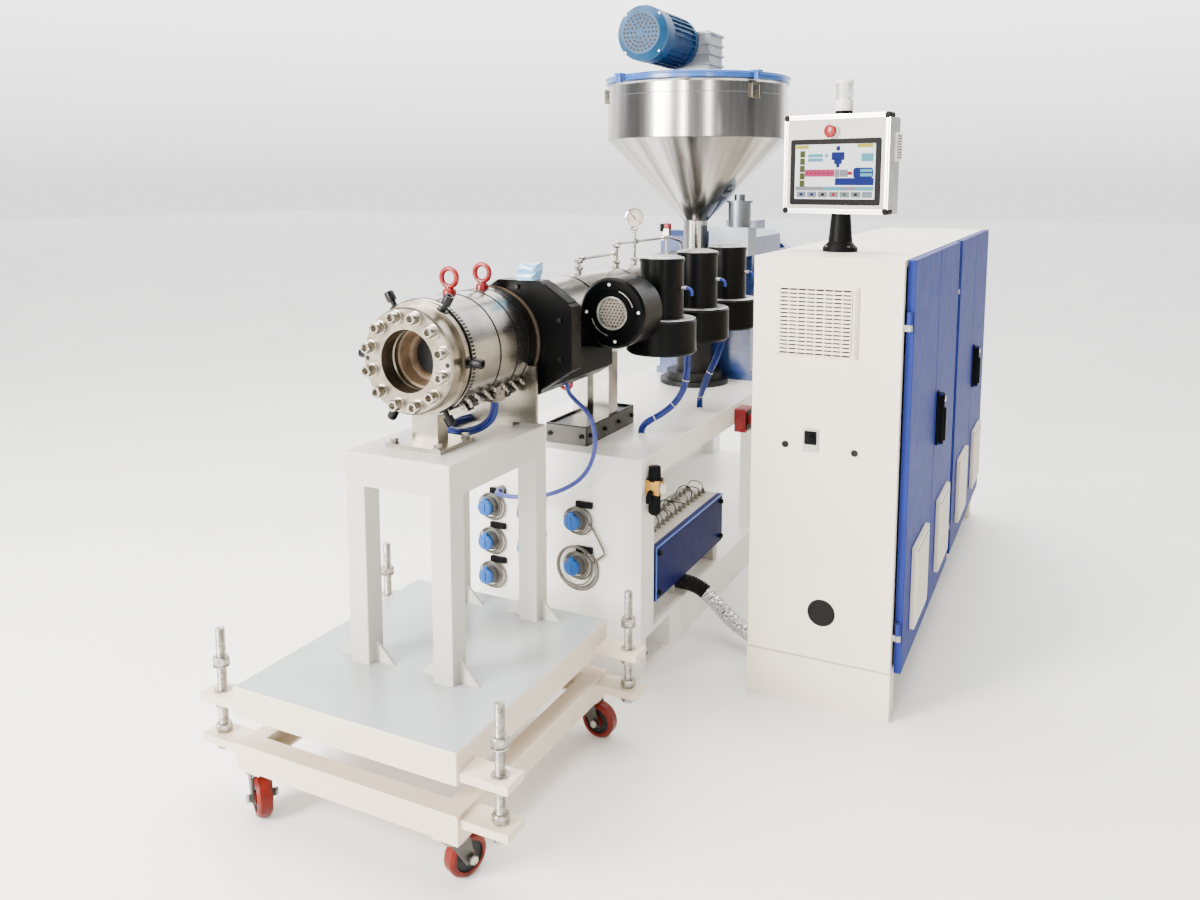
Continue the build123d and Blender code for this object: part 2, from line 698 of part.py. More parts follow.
def heater_bands():
    """Stainless heater bands round the die core, each with the two ears of its clamp."""
    bands = []
    ear_out, ear_thick, ear_length = CLAMP_EAR
    scale = (die_length - BAND_START) / sum(BAND_LENGTHS)
    splits = [BAND_START + scale * sum(BAND_LENGTHS[:count]) for count in range(len(BAND_LENGTHS) + 1)]
    for index, (start, end) in enumerate(zip(splits, splits[1:])):
        y0 = die_front + start + BAND_GAP / 2
        y1 = die_front + end - BAND_GAP / 2
        band = along_y(0, AXIS_HEIGHT, y0, y1, BAND_DIA)
        middle = (y0 + y1) / 2
        for side in (-1, 1) if index in EARED_BANDS else ():
            ear = Box(2 * ear_out, ear_length, ear_thick)
            ear = Pos(BAND_DIA / 2, 0, side * (CLAMP_OPEN + ear_thick) / 2) * ear
            band += Pos(0, middle, AXIS_HEIGHT) * Rot(0, -CLAMP_ANGLE, 0) * ear
        if index == 1:
            half = TERMINAL_SIZE / 2
            band += block(TERMINAL_X - half, TERMINAL_X + half, middle - half, middle + half,
                          AXIS_HEIGHT - TERMINAL_DROP, AXIS_HEIGHT)
        bands.append(band - along_y(0, AXIS_HEIGHT, y0, y1, DIE_CORE_DIA))
    return Compound(children=bands)


def eye_bolts():
    """Two lifting eyes on top of the die head."""
    eyes = []
    top = AXIS_HEIGHT + BAND_DIA / 2
    for share in EYE_SHARES:
        y = die_front + share * die_length
        eye = upright(0, y, top - EYE_COLLAR_HEIGHT, top + EYE_COLLAR_HEIGHT, EYE_COLLAR)
        outer = EYE_RING + EYE_BAR
        ring = Cylinder(outer / 2, EYE_BAR) - Cylinder((EYE_RING - EYE_BAR) / 2, EYE_BAR)
        ring = chamfer(ring.edges().filter_by(GeomType.CIRCLE), EYE_BAR * 0.29)
        eye += Pos(0, y, top + EYE_COLLAR_HEIGHT + outer / 2 - 2) * Rot(90, 0, 0) * ring
        eyes.append(eye - along_y(0, AXIS_HEIGHT, y - EYE_COLLAR, y + EYE_COLLAR, BAND_DIA))
    return Compound(children=eyes)


def hood_outline(inset):
    """Bevelled outline of the hood in X and Z, moved inwards by a sheet."""
    top = AXIS_HEIGHT + HOOD_TOP - inset
    bottom = AXIS_HEIGHT - HOOD_BOTTOM + inset
    slant = inset * 0.4
    left = -HOOD_LEFT + inset
    right = HOOD_RIGHT - inset
    return [(left, bottom + HOOD_LEFT_DROPS[1] - slant), (left, top - HOOD_LEFT_DROPS[0] + slant),
            (HOOD_RIDGE[0] + slant, top), (HOOD_RIDGE[1] - slant, top),
            (right, top - HOOD_RIGHT_DROPS[0] + slant), (right, bottom + HOOD_RIGHT_DROPS[1] - slant),
            (HOOD_SOLE[1] - slant, bottom), (-HOOD_SOLE[0] + slant, bottom)]


def front_hood():
    """Bevelled sheet hood over the joint of die and barrel, with a bent trough under the first jackets."""
    y0 = hood_front
    y1 = y0 + HOOD_DEPTH
    y2 = y1 + SHROUD_LENGTH
    hood = profile_y(hood_outline(0), y0, y1) - profile_y(hood_outline(HOOD_SHEET), y0 + HOOD_SHEET, y1)
    hood -= along_y(0, AXIS_HEIGHT, y0, y0 + HOOD_SHEET, BARREL_FLANGE_DIA + 2 * RUN_GAP)
    bottom = AXIS_HEIGHT - HOOD_BOTTOM
    edge = AXIS_HEIGHT - SHROUD_TOP
    sheets = []
    for inset in (0, HOOD_SHEET):
        half = SHROUD_HALF - inset
        sole = SHROUD_SOLE - inset * 0.4
        rise = bottom + SHROUD_RISE + inset * 0.4
        sheets.append([(-half, edge), (-half, rise), (-sole, bottom + inset),
                       (sole, bottom + inset), (half, rise), (half, edge)])
    trough = profile_y(sheets[0], y1, y2) - profile_y(sheets[1], y1, y2 - HOOD_SHEET)
    trough -= barrel_clear(y1, y2)
    return hood + trough


def barrel():
    """Barrel from the die to the feed block, with a jacket round each heating zone."""
    start = hood_front + HOOD_DEPTH
    end = throat_y - FEED_BLOCK_LENGTH / 2
    pitch = (end - start - JACKET_GAP) / ZONES
    tube = along_y(0, AXIS_HEIGHT, hood_front, end, BARREL_DIA)
    tube += along_y(0, AXIS_HEIGHT, hood_front, hood_front + BARREL_FLANGE, BARREL_FLANGE_DIA)
    for index in range(ZONES):
        y0 = start + JACKET_GAP + index * pitch
        tube += along_y(0, AXIS_HEIGHT, y0, y0 + pitch - JACKET_GAP, JACKET_DIA)
    return tube


def barrel_column():
    """Grooved stainless column that carries the barrel."""
    y = base_front + COLUMN_Y
    half = COLUMN_WIDTH / 2
    front = y - COLUMN_DEPTH / 2
    low = base_height + SLIDE_HEIGHT - SLIDE_RECESS
    column = block(-half, half, front, front + COLUMN_DEPTH, low, AXIS_HEIGHT - COLUMN_SEAT)
    column -= block(-COLUMN_GROOVE / 2, COLUMN_GROOVE / 2, front, front + COLUMN_GROOVE_DEPTH,
                    low, AXIS_HEIGHT)
    return column - barrel_clear(front, front + COLUMN_DEPTH)


def slide_base():
    """Machined slide under the column, with a raised rim round its top."""
    half = SLIDE_WIDTH / 2
    y0 = base_front + COLUMN_Y - SLIDE_AHEAD
    y1 = y0 + SLIDE_LENGTH
    top = base_height + SLIDE_HEIGHT
    slide = block(-half, half, y0, y1, base_height, top)
    return slide - block(-half + SLIDE_RIM, half - SLIDE_RIM, y0 + SLIDE_RIM, y1 - SLIDE_RIM,
                         top - SLIDE_RECESS, top)


def feed_block():
    """Cast block that takes the hopper throat, on a round pedestal."""
    half = FEED_BLOCK / 2
    y0 = throat_y - FEED_BLOCK_LENGTH / 2
    body = block(-half, half, y0, y0 + FEED_BLOCK_LENGTH, AXIS_HEIGHT - half, feed_top)
    ring = PEDESTAL_RING_DIA / 2
    base = base_height + PEDESTAL_BASE
    pedestal = lathe_z([(0, base_height), (PEDESTAL_DIA / 2, base_height), (PEDESTAL_DIA / 2, base),
                        (ring, base), (ring, base + PEDESTAL_RING),
                        (PEDESTAL_COLUMN / 2, base + PEDESTAL_RING),
                        (PEDESTAL_COLUMN / 2, AXIS_HEIGHT - half), (0, AXIS_HEIGHT - half)])
    trim = block(-half, half, y0 + FEED_BLOCK_LENGTH, throat_y + PEDESTAL_DIA, base_height, feed_top)
    return body + Pos(0, throat_y, 0) * pedestal - trim


def upright_blower(y):
    """Blower with a flat scroll, a lidded can above it and an outlet to the barrel."""
    bottom = AXIS_HEIGHT - BLOWER_BELOW
    shoulder = bottom + SCROLL_THICK
    top = shoulder + CAN_HEIGHT
    outer = SCROLL_DIA / 2
    can = CAN_DIA / 2
    lip = outer - 2 * SCROLL_EDGE
    body = lathe_z([(0, bottom), (outer - SCROLL_EDGE, bottom), (outer, bottom + SCROLL_EDGE),
                    (outer, shoulder - SCROLL_EDGE), (outer - SCROLL_EDGE, shoulder), (lip, shoulder),
                    (lip, shoulder - SCROLL_LIP), (can, shoulder - SCROLL_LIP), (can, top - LID_HEIGHT),
                    (can + LID_RIM, top - LID_HEIGHT), (can + LID_RIM, top - LID_RIM), (can, top), (0, top)])
    half = OUTLET_WIDTH / 2
    outlet = block(BARREL_DIA / 2, BLOWER_X, y - half, y + half,
                   bottom + OUTLET_MARGIN, shoulder - OUTLET_MARGIN)
    return Pos(BLOWER_X, y, 0) * body + (outlet - barrel_clear(y - half, y + half))


def front_blower():
    """Blower that faces forward, with its intake, a motor behind it and an outlet under the jacket."""
    y = base_front + FRONT_BLOWER_Y
    z = AXIS_HEIGHT + FRONT_BLOWER_UP
    outer = FRONT_SCROLL_DIA / 2
    back = FRONT_SCROLL_THICK
    lip = outer - 2 * SCROLL_EDGE
    intake = INTAKE_DIA / 2
    motor = BLOWER_MOTOR_DIA / 2
    body = lathe_y([(0, INTAKE_DEPTH), (intake, INTAKE_DEPTH), (intake, SCROLL_LIP), (lip, SCROLL_LIP),
                    (lip, 0), (outer - SCROLL_EDGE, 0), (outer, SCROLL_EDGE), (outer, back - SCROLL_EDGE),
                    (outer - SCROLL_EDGE, back), (motor, back), (motor, back + BLOWER_MOTOR_LENGTH),
                    (0, back + BLOWER_MOTOR_LENGTH)])
    outlet = block(BARREL_DIA / 2, FRONT_BLOWER_X, y + OUTLET_MARGIN, y + back - OUTLET_MARGIN,
                   z - outer, z - outer / 3)
    clear = barrel_clear(y, y + back)
    return Pos(FRONT_BLOWER_X, y, z) * body + (outlet - clear) - clear


def blowers():
    """Upright cooling blowers beside the barrel and one that faces forward."""
    pieces = [upright_blower(base_front + BLOWER_Y + index * BLOWER_PITCH) for index in range(ZONES - 1)]
    return Compound(children=pieces + [front_blower()])


def oil_pipes():
    """Oil pipes on top of the barrel with a sensor, a dial gauge and a valve."""
    low = jacket_top - FITTING_DIA / 2
    run = jacket_top + RISER_HEIGHT
    pipes = None
    risers = ((SENSOR_Y, SENSOR_HEIGHT), (RISER_Y, RISER_HEIGHT),
              (GAUGE_Y, GAUGE_HEIGHT), (VALVE_Y, VALVE_HEIGHT))
    for station, height in risers:
        y = base_front + station
        riser = upright(0, y, low, jacket_top + height + RISER_DIA / 2, RISER_DIA)
        riser += upright(0, y, low, jacket_top + FITTING_DIA, FITTING_DIA)
        pipes = riser if pipes is None else pipes + riser
    sensor = base_front + SENSOR_Y
    feed = jacket_top + SENSOR_HEIGHT
    pipes += along_y(0, feed, sensor, base_front + RISER_Y, PIPE_DIA)
    end = base_front + PIPE_END_Y
    path = FilletPolyline((0, base_front + RISER_Y, run), (0, base_front + VALVE_Y + PIPE_BEND, run),
                          (0, end - PIPE_BEND, run - PIPE_BEND), (0, end, low), radius=PIPE_BEND)
    pipes += sweep(Plane(path @ 0, z_dir=path % 0) * Circle(PIPE_DIA / 2), path)
    gauge_z = jacket_top + GAUGE_HEIGHT
    gauge = Rot(0, 0, GAUGE_TURN) * along_y(0, 0, -GAUGE_DEPTH / 2, GAUGE_DEPTH / 2, GAUGE_DIA)
    pipes += Pos(0, base_front + GAUGE_Y, gauge_z) * gauge
    half = VALVE_SIZE / 2
    y = base_front + VALVE_Y
    valve = jacket_top + VALVE_HEIGHT
    pipes += block(-half, half, y - half, y + half, valve - half, valve + half)
    return pipes - barrel_clear(sensor - FITTING_DIA, end + FITTING_DIA)


def hopper_shell():
    """Open shell of cylinder, cone and throat tube, with a rim bead and hook brackets."""
    outer = HOPPER_DIA / 2
    throat = THROAT_DIA / 2
    wall = HOPPER_WALL
    shoulder = rim_height - CYLINDER_HEIGHT
    cone_end = shoulder - CONE_HEIGHT
    flange = throat + FLANGE_OUT
    bead = outer + LID_OVER - wall
    shell = lathe_z([(throat - wall, feed_top), (flange, feed_top), (flange, feed_top + FLANGE_PLATE),
                     (throat, feed_top + FLANGE_PLATE), (throat, cone_end), (outer, shoulder),
                     (outer, rim_height - BEAD_DIA - LID_LIP), (bead, rim_height - LID_LIP - BEAD_DIA / 2),
                     (outer, rim_height - LID_LIP), (outer, rim_height), (outer - wall, rim_height),
                     (outer - wall, shoulder + 1), (throat - wall, cone_end + 1)])
    half = BRACKET_SIZE / 2
    z = rim_height - BRACKET_DROP - half
    for angle in BRACKET_ANGLES:
        hook = block(outer - wall / 2, outer + BRACKET_THICK, -half, half, z - half, z + half)
        hook -= block(outer + wall / 2, outer + BRACKET_THICK, -half / 2, half / 2, z - half, z)
        shell += Rot(0, 0, angle) * hook
    return Pos(0, throat_y, 0) * shell


def hopper_lid():
    """Round lid with a turned-down lip over the hopper rim."""
    outer = HOPPER_DIA / 2 + RUN_GAP
    edge = HOPPER_DIA / 2 + LID_OVER
    lip = rim_height - LID_LIP + RUN_GAP
    lid = lathe_z([(0, rim_height), (outer, rim_height), (outer, lip), (edge, lip),
                   (edge, lid_top), (0, lid_top)])
    return Pos(0, throat_y, 0) * lid


def agitator_gearbox():
    """Ribbed worm gearbox on the middle of the lid."""
    half = AGITATOR_BOX / 2
    core = half - RIB_OUT
    low = lid_top + AGITATOR_FLANGE
    body = upright(0, throat_y, lid_top, low, AGITATOR_BOX + 2 * RIB_OUT)
    body += block(-core, core, throat_y - core, throat_y + core, low, low + AGITATOR_BOX)
    pitch = (AGITATOR_BOX - RIB_THICK) / (RIB_COUNT - 1)
    for index in range(RIB_COUNT):
        z = low + index * pitch
        body += block(-half, half, throat_y - half, throat_y + half, z, z + RIB_THICK)
    return body


def finned_motor(radius, length, cowl, fins, fin_depth):
    """Fan-cooled motor along Y from its drive flange at zero back to the domed cowl, with radial fins."""
    core = radius - fin_depth
    dome = cowl * 0.25
    body = lathe_y([(0, 0), (radius, 0), (radius, MOTOR_FLANGE), (core, MOTOR_FLANGE), (core, length - cowl),
                    (radius, length - cowl), (radius, length - dome), (radius - dome, length), (0, length)])
    fin = Pos(core + fin_depth / 4, (MOTOR_FLANGE + length - cowl) / 2, 0)
    fin *= Box(fin_depth * 1.5, length - cowl - MOTOR_FLANGE, FIN_THICK)
    return body + [Rot(0, 360.0 * index / fins, 0) * fin for index in range(fins)]


def agitator_motor():
    """Fan-cooled motor flanged to the front of the worm gearbox."""
    z = lid_top + AGITATOR_FLANGE + AGITATOR_BOX * AGITATOR_MOTOR_UP
    motor = finned_motor(AGITATOR_MOTOR_DIA / 2, AGITATOR_MOTOR_LENGTH, COWL_LENGTH, FIN_COUNT, FIN_DEPTH)
    return Pos(AGITATOR_MOTOR_X, throat_y - AGITATOR_BOX / 2, z) * Rot(0, 0, 180) * motor


def side_vent():
    """Vent cylinder beside the throat, on a square duct on the feed block."""
    x0 = THROAT_DIA / 2 + FLANGE_OUT + SIDE_DUCT_GAP
    x1 = SIDE_CYLINDER_X + SIDE_CYLINDER_DIA / 2 + FLANGE_PLATE
    half = SIDE_DUCT_WIDTH / 2
    top = feed_top + SIDE_DUCT_HEIGHT
    vent = block(x0, x1, throat_y - half, throat_y + half, feed_top, top)
    high = top + SIDE_CYLINDER_HEIGHT
    radius = SIDE_CYLINDER_DIA / 2
    rim = radius + SIDE_FLANGE
    cylinder = lathe_z([(0, top), (radius, top), (radius, high), (rim, high), (rim, high + SIDE_FLANGE),
                        (ELBOW_DIA / 2, high + SIDE_FLANGE), (ELBOW_DIA / 2, high + ELBOW_HEIGHT),
                        (0, high + ELBOW_HEIGHT)])
    return vent + Pos(SIDE_CYLINDER_X, throat_y, 0) * cylinder


def main_gearbox():
    """Distribution gearbox with a split flange, feet and a bearing cap on each side."""
    half = GEARBOX_WIDTH / 2
    wide = half + GEARBOX_FLANGE_OUT
    y0 = throat_y + FEED_BLOCK_LENGTH / 2
    y1 = y0 + GEARBOX_LENGTH
    top = base_height + GEARBOX_HEIGHT
    box = block(-half, half, y0, y1, base_height, top)
    box = chamfer(box.edges().group_by(Axis.Z)[-1], GEARBOX_SPLIT)
    split = AXIS_HEIGHT - GEARBOX_SPLIT / 2
    box += block(-wide, wide, y0, y1, split, split + GEARBOX_SPLIT)
    box += block(-wide, wide, y0, y1, base_height, base_height + GEARBOX_FOOT)
    middle = (y0 + y1) / 2
    return box + along_x(middle, AXIS_HEIGHT, -wide - GEARBOX_CAP, wide + GEARBOX_CAP, GEARBOX_CAP_DIA)


def main_motor():
    """Main drive motor with fins, fan cowl, feet and a terminal box on top."""
    y0 = throat_y + FEED_BLOCK_LENGTH / 2 + GEARBOX_LENGTH
    motor = finned_motor(MOTOR_DIA / 2, MOTOR_LENGTH, MOTOR_COWL, MOTOR_FINS, MOTOR_FIN_DEPTH)
    motor = Pos(0, y0, AXIS_HEIGHT) * motor
    half = MOTOR_FOOT_WIDTH / 2
    foot_front, foot_back = MOTOR_FOOT_ENDS
    foot_end = y0 + MOTOR_LENGTH - MOTOR_COWL - foot_back
    motor += block(-half, half, y0 + foot_front, foot_end, base_height, AXIS_HEIGHT)
    width, length, height = TERMINAL_BOX
    y = y0 + foot_front
    z = AXIS_HEIGHT + MOTOR_DIA / 2 - MOTOR_FIN_DEPTH
    return motor + block(-width / 2, width / 2, y, y + length, AXIS_HEIGHT, z + height)


def base_sole():
    """Closed floor skid with four anchor pockets open to the sides."""
    half = BASE_WIDTH / 2
    sole = block(-half, half, base_front, base_front + BASE_LENGTH, 0, SOLE_HEIGHT)
    for sx in (-1, 1):
        for sy in (-1, 1):
            x0, x1 = sorted((sx * half, sx * (half - POCKET_DEPTH)))
            end = BASE_LENGTH / 2 - POCKET_END
            y0, y1 = sorted((sy * end, sy * (end - POCKET_LENGTH)))
            sole -= block(x0, x1, y0, y1, SOLE_PLATE, SOLE_HEIGHT - SOLE_PLATE)
            sole -= upright(sx * (half - ANCHOR_SIDE), (y0 + y1) / 2, 0, SOLE_PLATE, ANCHOR_DIA)
    return sole


def base_posts():
    """Six posts between the sole and the top rails."""
    posts = []
    half = BASE_WIDTH / 2
    starts = (PANEL, POST_LENGTH + BAY_LENGTH, BASE_LENGTH - POST_LENGTH)
    for x0 in (-half, half - POST_WIDTH):
        for start in starts:
            y0 = base_front + start
            y1 = y0 + POST_LENGTH - (PANEL if start == PANEL else 0)
            rail = base_height - TOP_PLATE - RAIL_HEIGHT
            posts.append(block(x0, x0 + POST_WIDTH, y0, y1, SOLE_HEIGHT, rail))
    return Compound(children=posts)


def base_rails():
    """Two side rails under the top plate."""
    rails = []
    half = BASE_WIDTH / 2
    for x0 in (-half, half - POST_WIDTH):
        rails.append(block(x0, x0 + POST_WIDTH, base_front + PANEL, base_front + BASE_LENGTH,
                           base_height - TOP_PLATE - RAIL_HEIGHT, base_height - TOP_PLATE))
    return Compound(children=rails)


def base_top_plate():
    """Top plate of the base with eased upper edges."""
    half = BASE_WIDTH / 2
    plate = block(-half, half, base_front, base_front + BASE_LENGTH, base_height - TOP_PLATE, base_height)
    return fillet(plate.edges().group_by(Axis.Z)[-1], EDGE_EASE)


def base_panels():
    """Sheets that close the front of the base and its sides under the drive."""
    half = BASE_WIDTH / 2
    panels = [block(-half, half, base_front, base_front + PANEL, SOLE_HEIGHT, base_height - TOP_PLATE)]
    y0 = base_front + 2 * POST_LENGTH + BAY_LENGTH
    y1 = base_front + BASE_LENGTH - POST_LENGTH
    for x0 in (-half, half - PANEL):
        panels.append(block(x0, x0 + PANEL, y0, y1, SOLE_HEIGHT, base_height - TOP_PLATE - RAIL_HEIGHT))
    return Compound(children=panels)


def control_sockets():
    """Round sockets on the front panel and the gland of the hood's lead."""
    sockets = []
    for x, count, pitch in zip(SOCKET_COLUMNS, SOCKET_COUNTS, SOCKET_PITCHES):
        for index in range(count):
            z = base_height - SOCKET_DROP - index * pitch
            body = along_y(x, z, base_front - SOCKET_DEPTH, base_front, SOCKET_BODY)
            sockets.append(body + along_y(x, z, base_front - SOCKET_FLANGE, base_front, SOCKET_DIA))
    x, _, drop = HOOD_LEAD[-1]
    sockets.append(along_y(x, base_height + drop, base_front - GLAND_LENGTH, base_front, GLAND_DIA))
    return Compound(children=sockets)


def junction_span():
    """Near and far end of the terminal box in the open bay."""
    y0 = base_front + POST_LENGTH + JUNCTION_START
    return y0, y0 + JUNCTION_LENGTH


def junction_box():
    """Terminal box on two feet, with the boss of its conduit underneath."""
    x1 = BASE_WIDTH / 2 - JUNCTION_COVER
    x0 = x1 - JUNCTION_DEPTH
    y0, y1 = junction_span()
    box = block(x0, x1, y0, y1, junction_bottom, junction_bottom + JUNCTION_HEIGHT)
    for y in (y0, y1 - JUNCTION_FOOT):
        box += block(x0, x1, y, y + JUNCTION_FOOT, SOLE_HEIGHT, junction_bottom)
    half = CONDUIT_BOSS / 2
    y = base_front + CONDUIT_Y
    return box + block(x0, CONDUIT[0][0], y - half, y + half, CONDUIT_Z - half, junction_bottom)


def junction_cover():
    """Cover plate on the outer side of the terminal box."""
    x1 = BASE_WIDTH / 2
    y0, y1 = junction_span()
    return block(x1 - JUNCTION_COVER, x1, y0, y1, junction_bottom, junction_bottom + JUNCTION_HEIGHT)


def air_regulator():
    """Air regulator with knob and bowl, on the outer face of the right front post."""
    size = REGULATOR_SIZE
    half = size / 2
    round_dia = size * 0.8
    x = BASE_WIDTH / 2 + half
    y0 = base_front + (POST_LENGTH - size) / 2
    z = base_height - REGULATOR_DROP
    body = block(x - half, x + half, y0, y0 + size, z - half, z + half)
    knob = upright(x, y0 + half, z + half, z + half + REGULATOR_KNOB, round_dia)
    bowl = upright(x, y0 + half, z - half - REGULATOR_BOWL, z - half, round_dia)
    return body + knob + bowl


def stop_switch():
    """Box with a stop button on the right rail."""
    x = BASE_WIDTH / 2
    y = base_front + SWITCH_Y
    top = base_height - TOP_PLATE
    outer = x + SWITCH_DEPTH
    middle = SWITCH_WIDTH / 2
    box = block(x, outer, y, y + SWITCH_WIDTH, top - SWITCH_WIDTH, top)
    box = fillet(box.edges().filter_by(Axis.X), EDGE_EASE)
    return box + along_x(y + middle, top - middle, outer, outer + BUTTON_DEPTH, BUTTON_DIA)


def cabinet_uprights():
    """Front panel with its filter grille, rear panel and the post between the pairs of doors."""
    z0 = FOOT_HEIGHT
    front = block(CABINET_X, cabinet_right, cabinet_front, cabinet_front + CABINET_SHEET, z0, CABINET_HEIGHT)
    front = fillet(front.faces().sort_by(Axis.Y)[0].edges(), EDGE_EASE)
    x = CABINET_X + GRILLE_X
    z = CABINET_HEIGHT - GRILLE_DROP
    grille = block(x - GRILLE_WIDTH / 2, x + GRILLE_WIDTH / 2, cabinet_front - GRILLE_DEPTH, cabinet_front,
                   z - GRILLE_TALL / 2, z + GRILLE_TALL / 2)
    front += chamfer(grille.faces().sort_by(Axis.Y)[0].edges(), GRILLE_DEPTH / 2)
    rear = block(CABINET_X, cabinet_right, cabinet_back - CABINET_SHEET, cabinet_back, z0, CABINET_HEIGHT)
    rear = fillet(rear.faces().sort_by(Axis.Y)[-1].edges(), EDGE_EASE)
    y = (cabinet_front + cabinet_back) / 2
    post = block(cabinet_right - CENTRE_POST, cabinet_right, y - CENTRE_POST / 2, y + CENTRE_POST / 2,
                 FOOT_HEIGHT + CABINET_SHEET, CABINET_HEIGHT - CABINET_SHEET)
    return Compound(children=[front, rear, post])


def cabinet_roof_and_floor():
    """Roof and floor of the cabinet, and under the floor the block that takes the conduit."""
    y0 = cabinet_front + CABINET_SHEET
    y1 = cabinet_back - CABINET_SHEET
    roof = block(CABINET_X, cabinet_right, y0, y1, CABINET_HEIGHT - CABINET_SHEET, CABINET_HEIGHT)
    floor = block(CABINET_X, cabinet_right, y0, y1, FOOT_HEIGHT, FOOT_HEIGHT + CABINET_SHEET)
    length, width = SOCKET_BLOCK
    x = CABINET_X + CONDUIT_END
    y = base_front + CONDUIT_LAND[0]
    floor += block(x, x + length, y - width / 2, y + width / 2, SOCKET_BLOCK_FOOT, FOOT_HEIGHT)
    return Compound(children=[roof, floor])


def cabinet_left_panel():
    """Closed side of the cabinet, towards the machine."""
    return block(CABINET_X, CABINET_X + CABINET_SHEET,
                 cabinet_front + CABINET_SHEET, cabinet_back - CABINET_SHEET,
                 FOOT_HEIGHT + CABINET_SHEET, CABINET_HEIGHT - CABINET_SHEET)


def cabinet_feet():
    """Front and rear cross feet under the cabinet."""
    feet = [block(CABINET_X, cabinet_right, cabinet_front, cabinet_front + FOOT_LENGTH, 0, FOOT_HEIGHT),
            block(CABINET_X, cabinet_right, cabinet_back - FOOT_LENGTH, cabinet_back, 0, FOOT_HEIGHT)]
    return Compound(children=feet)


def door_span(index):
    """Near and far edge of a door, and the side that carries its hinges."""
    middle = (cabinet_front + cabinet_back) / 2
    half = CENTRE_POST / 2 - HINGE_EDGE - POST_PLAY
    pairs = ((cabinet_front + DOOR_MARGIN, middle - half), (middle + half, cabinet_back - DOOR_MARGIN))
    near, far = pairs[index // 2]
    split = (near + far) / 2
    if index % 2 == 0:
        return near, split - DOOR_GAP / 2, -1
    return split + DOOR_GAP / 2, far, 1


def hinge_heights():
    """Undersides of the two knuckles on each door."""
    return FOOT_HEIGHT + HINGE_LOW, CABINET_HEIGHT - HINGE_HIGH


def hinge_axis(index):
    """Hinge axis of a door in X and Y."""
    near, far, side = door_span(index)
    edge = far if side > 0 else near
    return cabinet_right + DOOR_GAP + DOOR_THICK / 2, edge + side * HINGE_EDGE


def cabinet_door(index):
    """Door leaf with its vent, hinge knuckles and, on every second leaf, a swing handle."""
    near, far, side = door_span(index)
    x0 = cabinet_right + DOOR_GAP
    x1 = x0 + DOOR_THICK
    z0 = FOOT_HEIGHT
    leaf = block(x0, x1, near, far, z0, CABINET_HEIGHT)
    leaf = fillet(leaf.faces().sort_by(Axis.X)[-1].edges(), EDGE_EASE)
    middle = (near + far) / 2
    half = VENT_SIZE / 2
    vent = block(x1, x1 + VENT_DEPTH, middle - half, middle + half,
                 z0 + VENT_BOTTOM, z0 + VENT_BOTTOM + VENT_SIZE)
    leaf += chamfer(vent.faces().sort_by(Axis.X)[-1].edges(), VENT_DEPTH / 2)
    if side > 0:
        y0 = near + HANDLE_SIDE
        z = z0 + HANDLE_UP
        handle = block(x1, x1 + HANDLE_DEPTH, y0, y0 + HANDLE_WIDTH, z, z + HANDLE_LENGTH)
        leaf += fillet(handle.faces().sort_by(Axis.X)[-1].edges(), HANDLE_DEPTH / 3)
    x, y = hinge_axis(index)
    web_y0, web_y1 = sorted((far if side > 0 else near, y))
    for bottom in hinge_heights():
        low = bottom + RUN_GAP
        leaf += block(x - HINGE_WEB / 2, x + HINGE_WEB / 2, web_y0, web_y1, low, low + HINGE_KNUCKLE)
        leaf += upright(x, y, low, low + HINGE_KNUCKLE, HINGE_DIA)
        leaf -= upright(x, y, low, low + HINGE_KNUCKLE, HINGE_PIN + 2 * RUN_GAP)
    return leaf


def door_hinges():
    """Fixed knuckles and pins that carry the doors."""
    hinges = []
    for index in range(4):
        x, y = hinge_axis(index)
        for bottom in hinge_heights():
            knuckle = upright(x, y, bottom - HINGE_FOOT, bottom, HINGE_DIA)
            web = block(cabinet_right, x, y - HINGE_WEB / 2, y + HINGE_WEB / 2, bottom - HINGE_FOOT, bottom)
            pin = upright(x, y, bottom - HINGE_FOOT, bottom + HINGE_KNUCKLE, HINGE_PIN)
            hinges.append(knuckle + web + pin)
    return Compound(children=hinges)


def panel_post():
    """Tapered post with a flange for the operator panel."""
    z0 = CABINET_HEIGHT
    z1 = z0 + PANEL_POST_HEIGHT
    base = PANEL_POST_BASE / 2
    neck = PANEL_POST_TOP / 2
    post = lathe_z([(0, z0), (base, z0), (base, z0 + PANEL_POST_FLANGE), (neck, z0 + PANEL_POST_SHOULDER),
                    (neck - PANEL_POST_TAPER, z1), (0, z1)])
    return Pos(panel_x, panel_y, 0) * post


def panel_box():
    """Operator panel: a rounded front frame with the screen's recess, and a narrower housing behind it."""
    half = PANEL_BOX_WIDTH / 2
    front = -PANEL_BOX_DEPTH / 2
    back = front + PANEL_FRAME_DEPTH
    edge = PANEL_FRAME_EDGE
    tall = PANEL_BOX_HEIGHT
    frame = block(-half, half, front, back, 0, tall)
    frame = fillet(frame.edges().filter_by(Axis.Y), PANEL_CORNER)
    width, height = SCREEN_SIZE
    low = tall / 2 - SCREEN_DROP - height / 2
    frame -= block(-width / 2, width / 2, front, front + SCREEN_RECESS, low, low + height)
    housing = block(-half + edge, half - edge, back, PANEL_BOX_DEPTH / 2, 0, tall - edge)
    housing = fillet(housing.faces().sort_by(Axis.Y)[-1].edges(), edge / 2)
    return Pos(panel_x, panel_y, panel_bottom) * Rot(0, 0, PANEL_TURN) * (frame + housing)


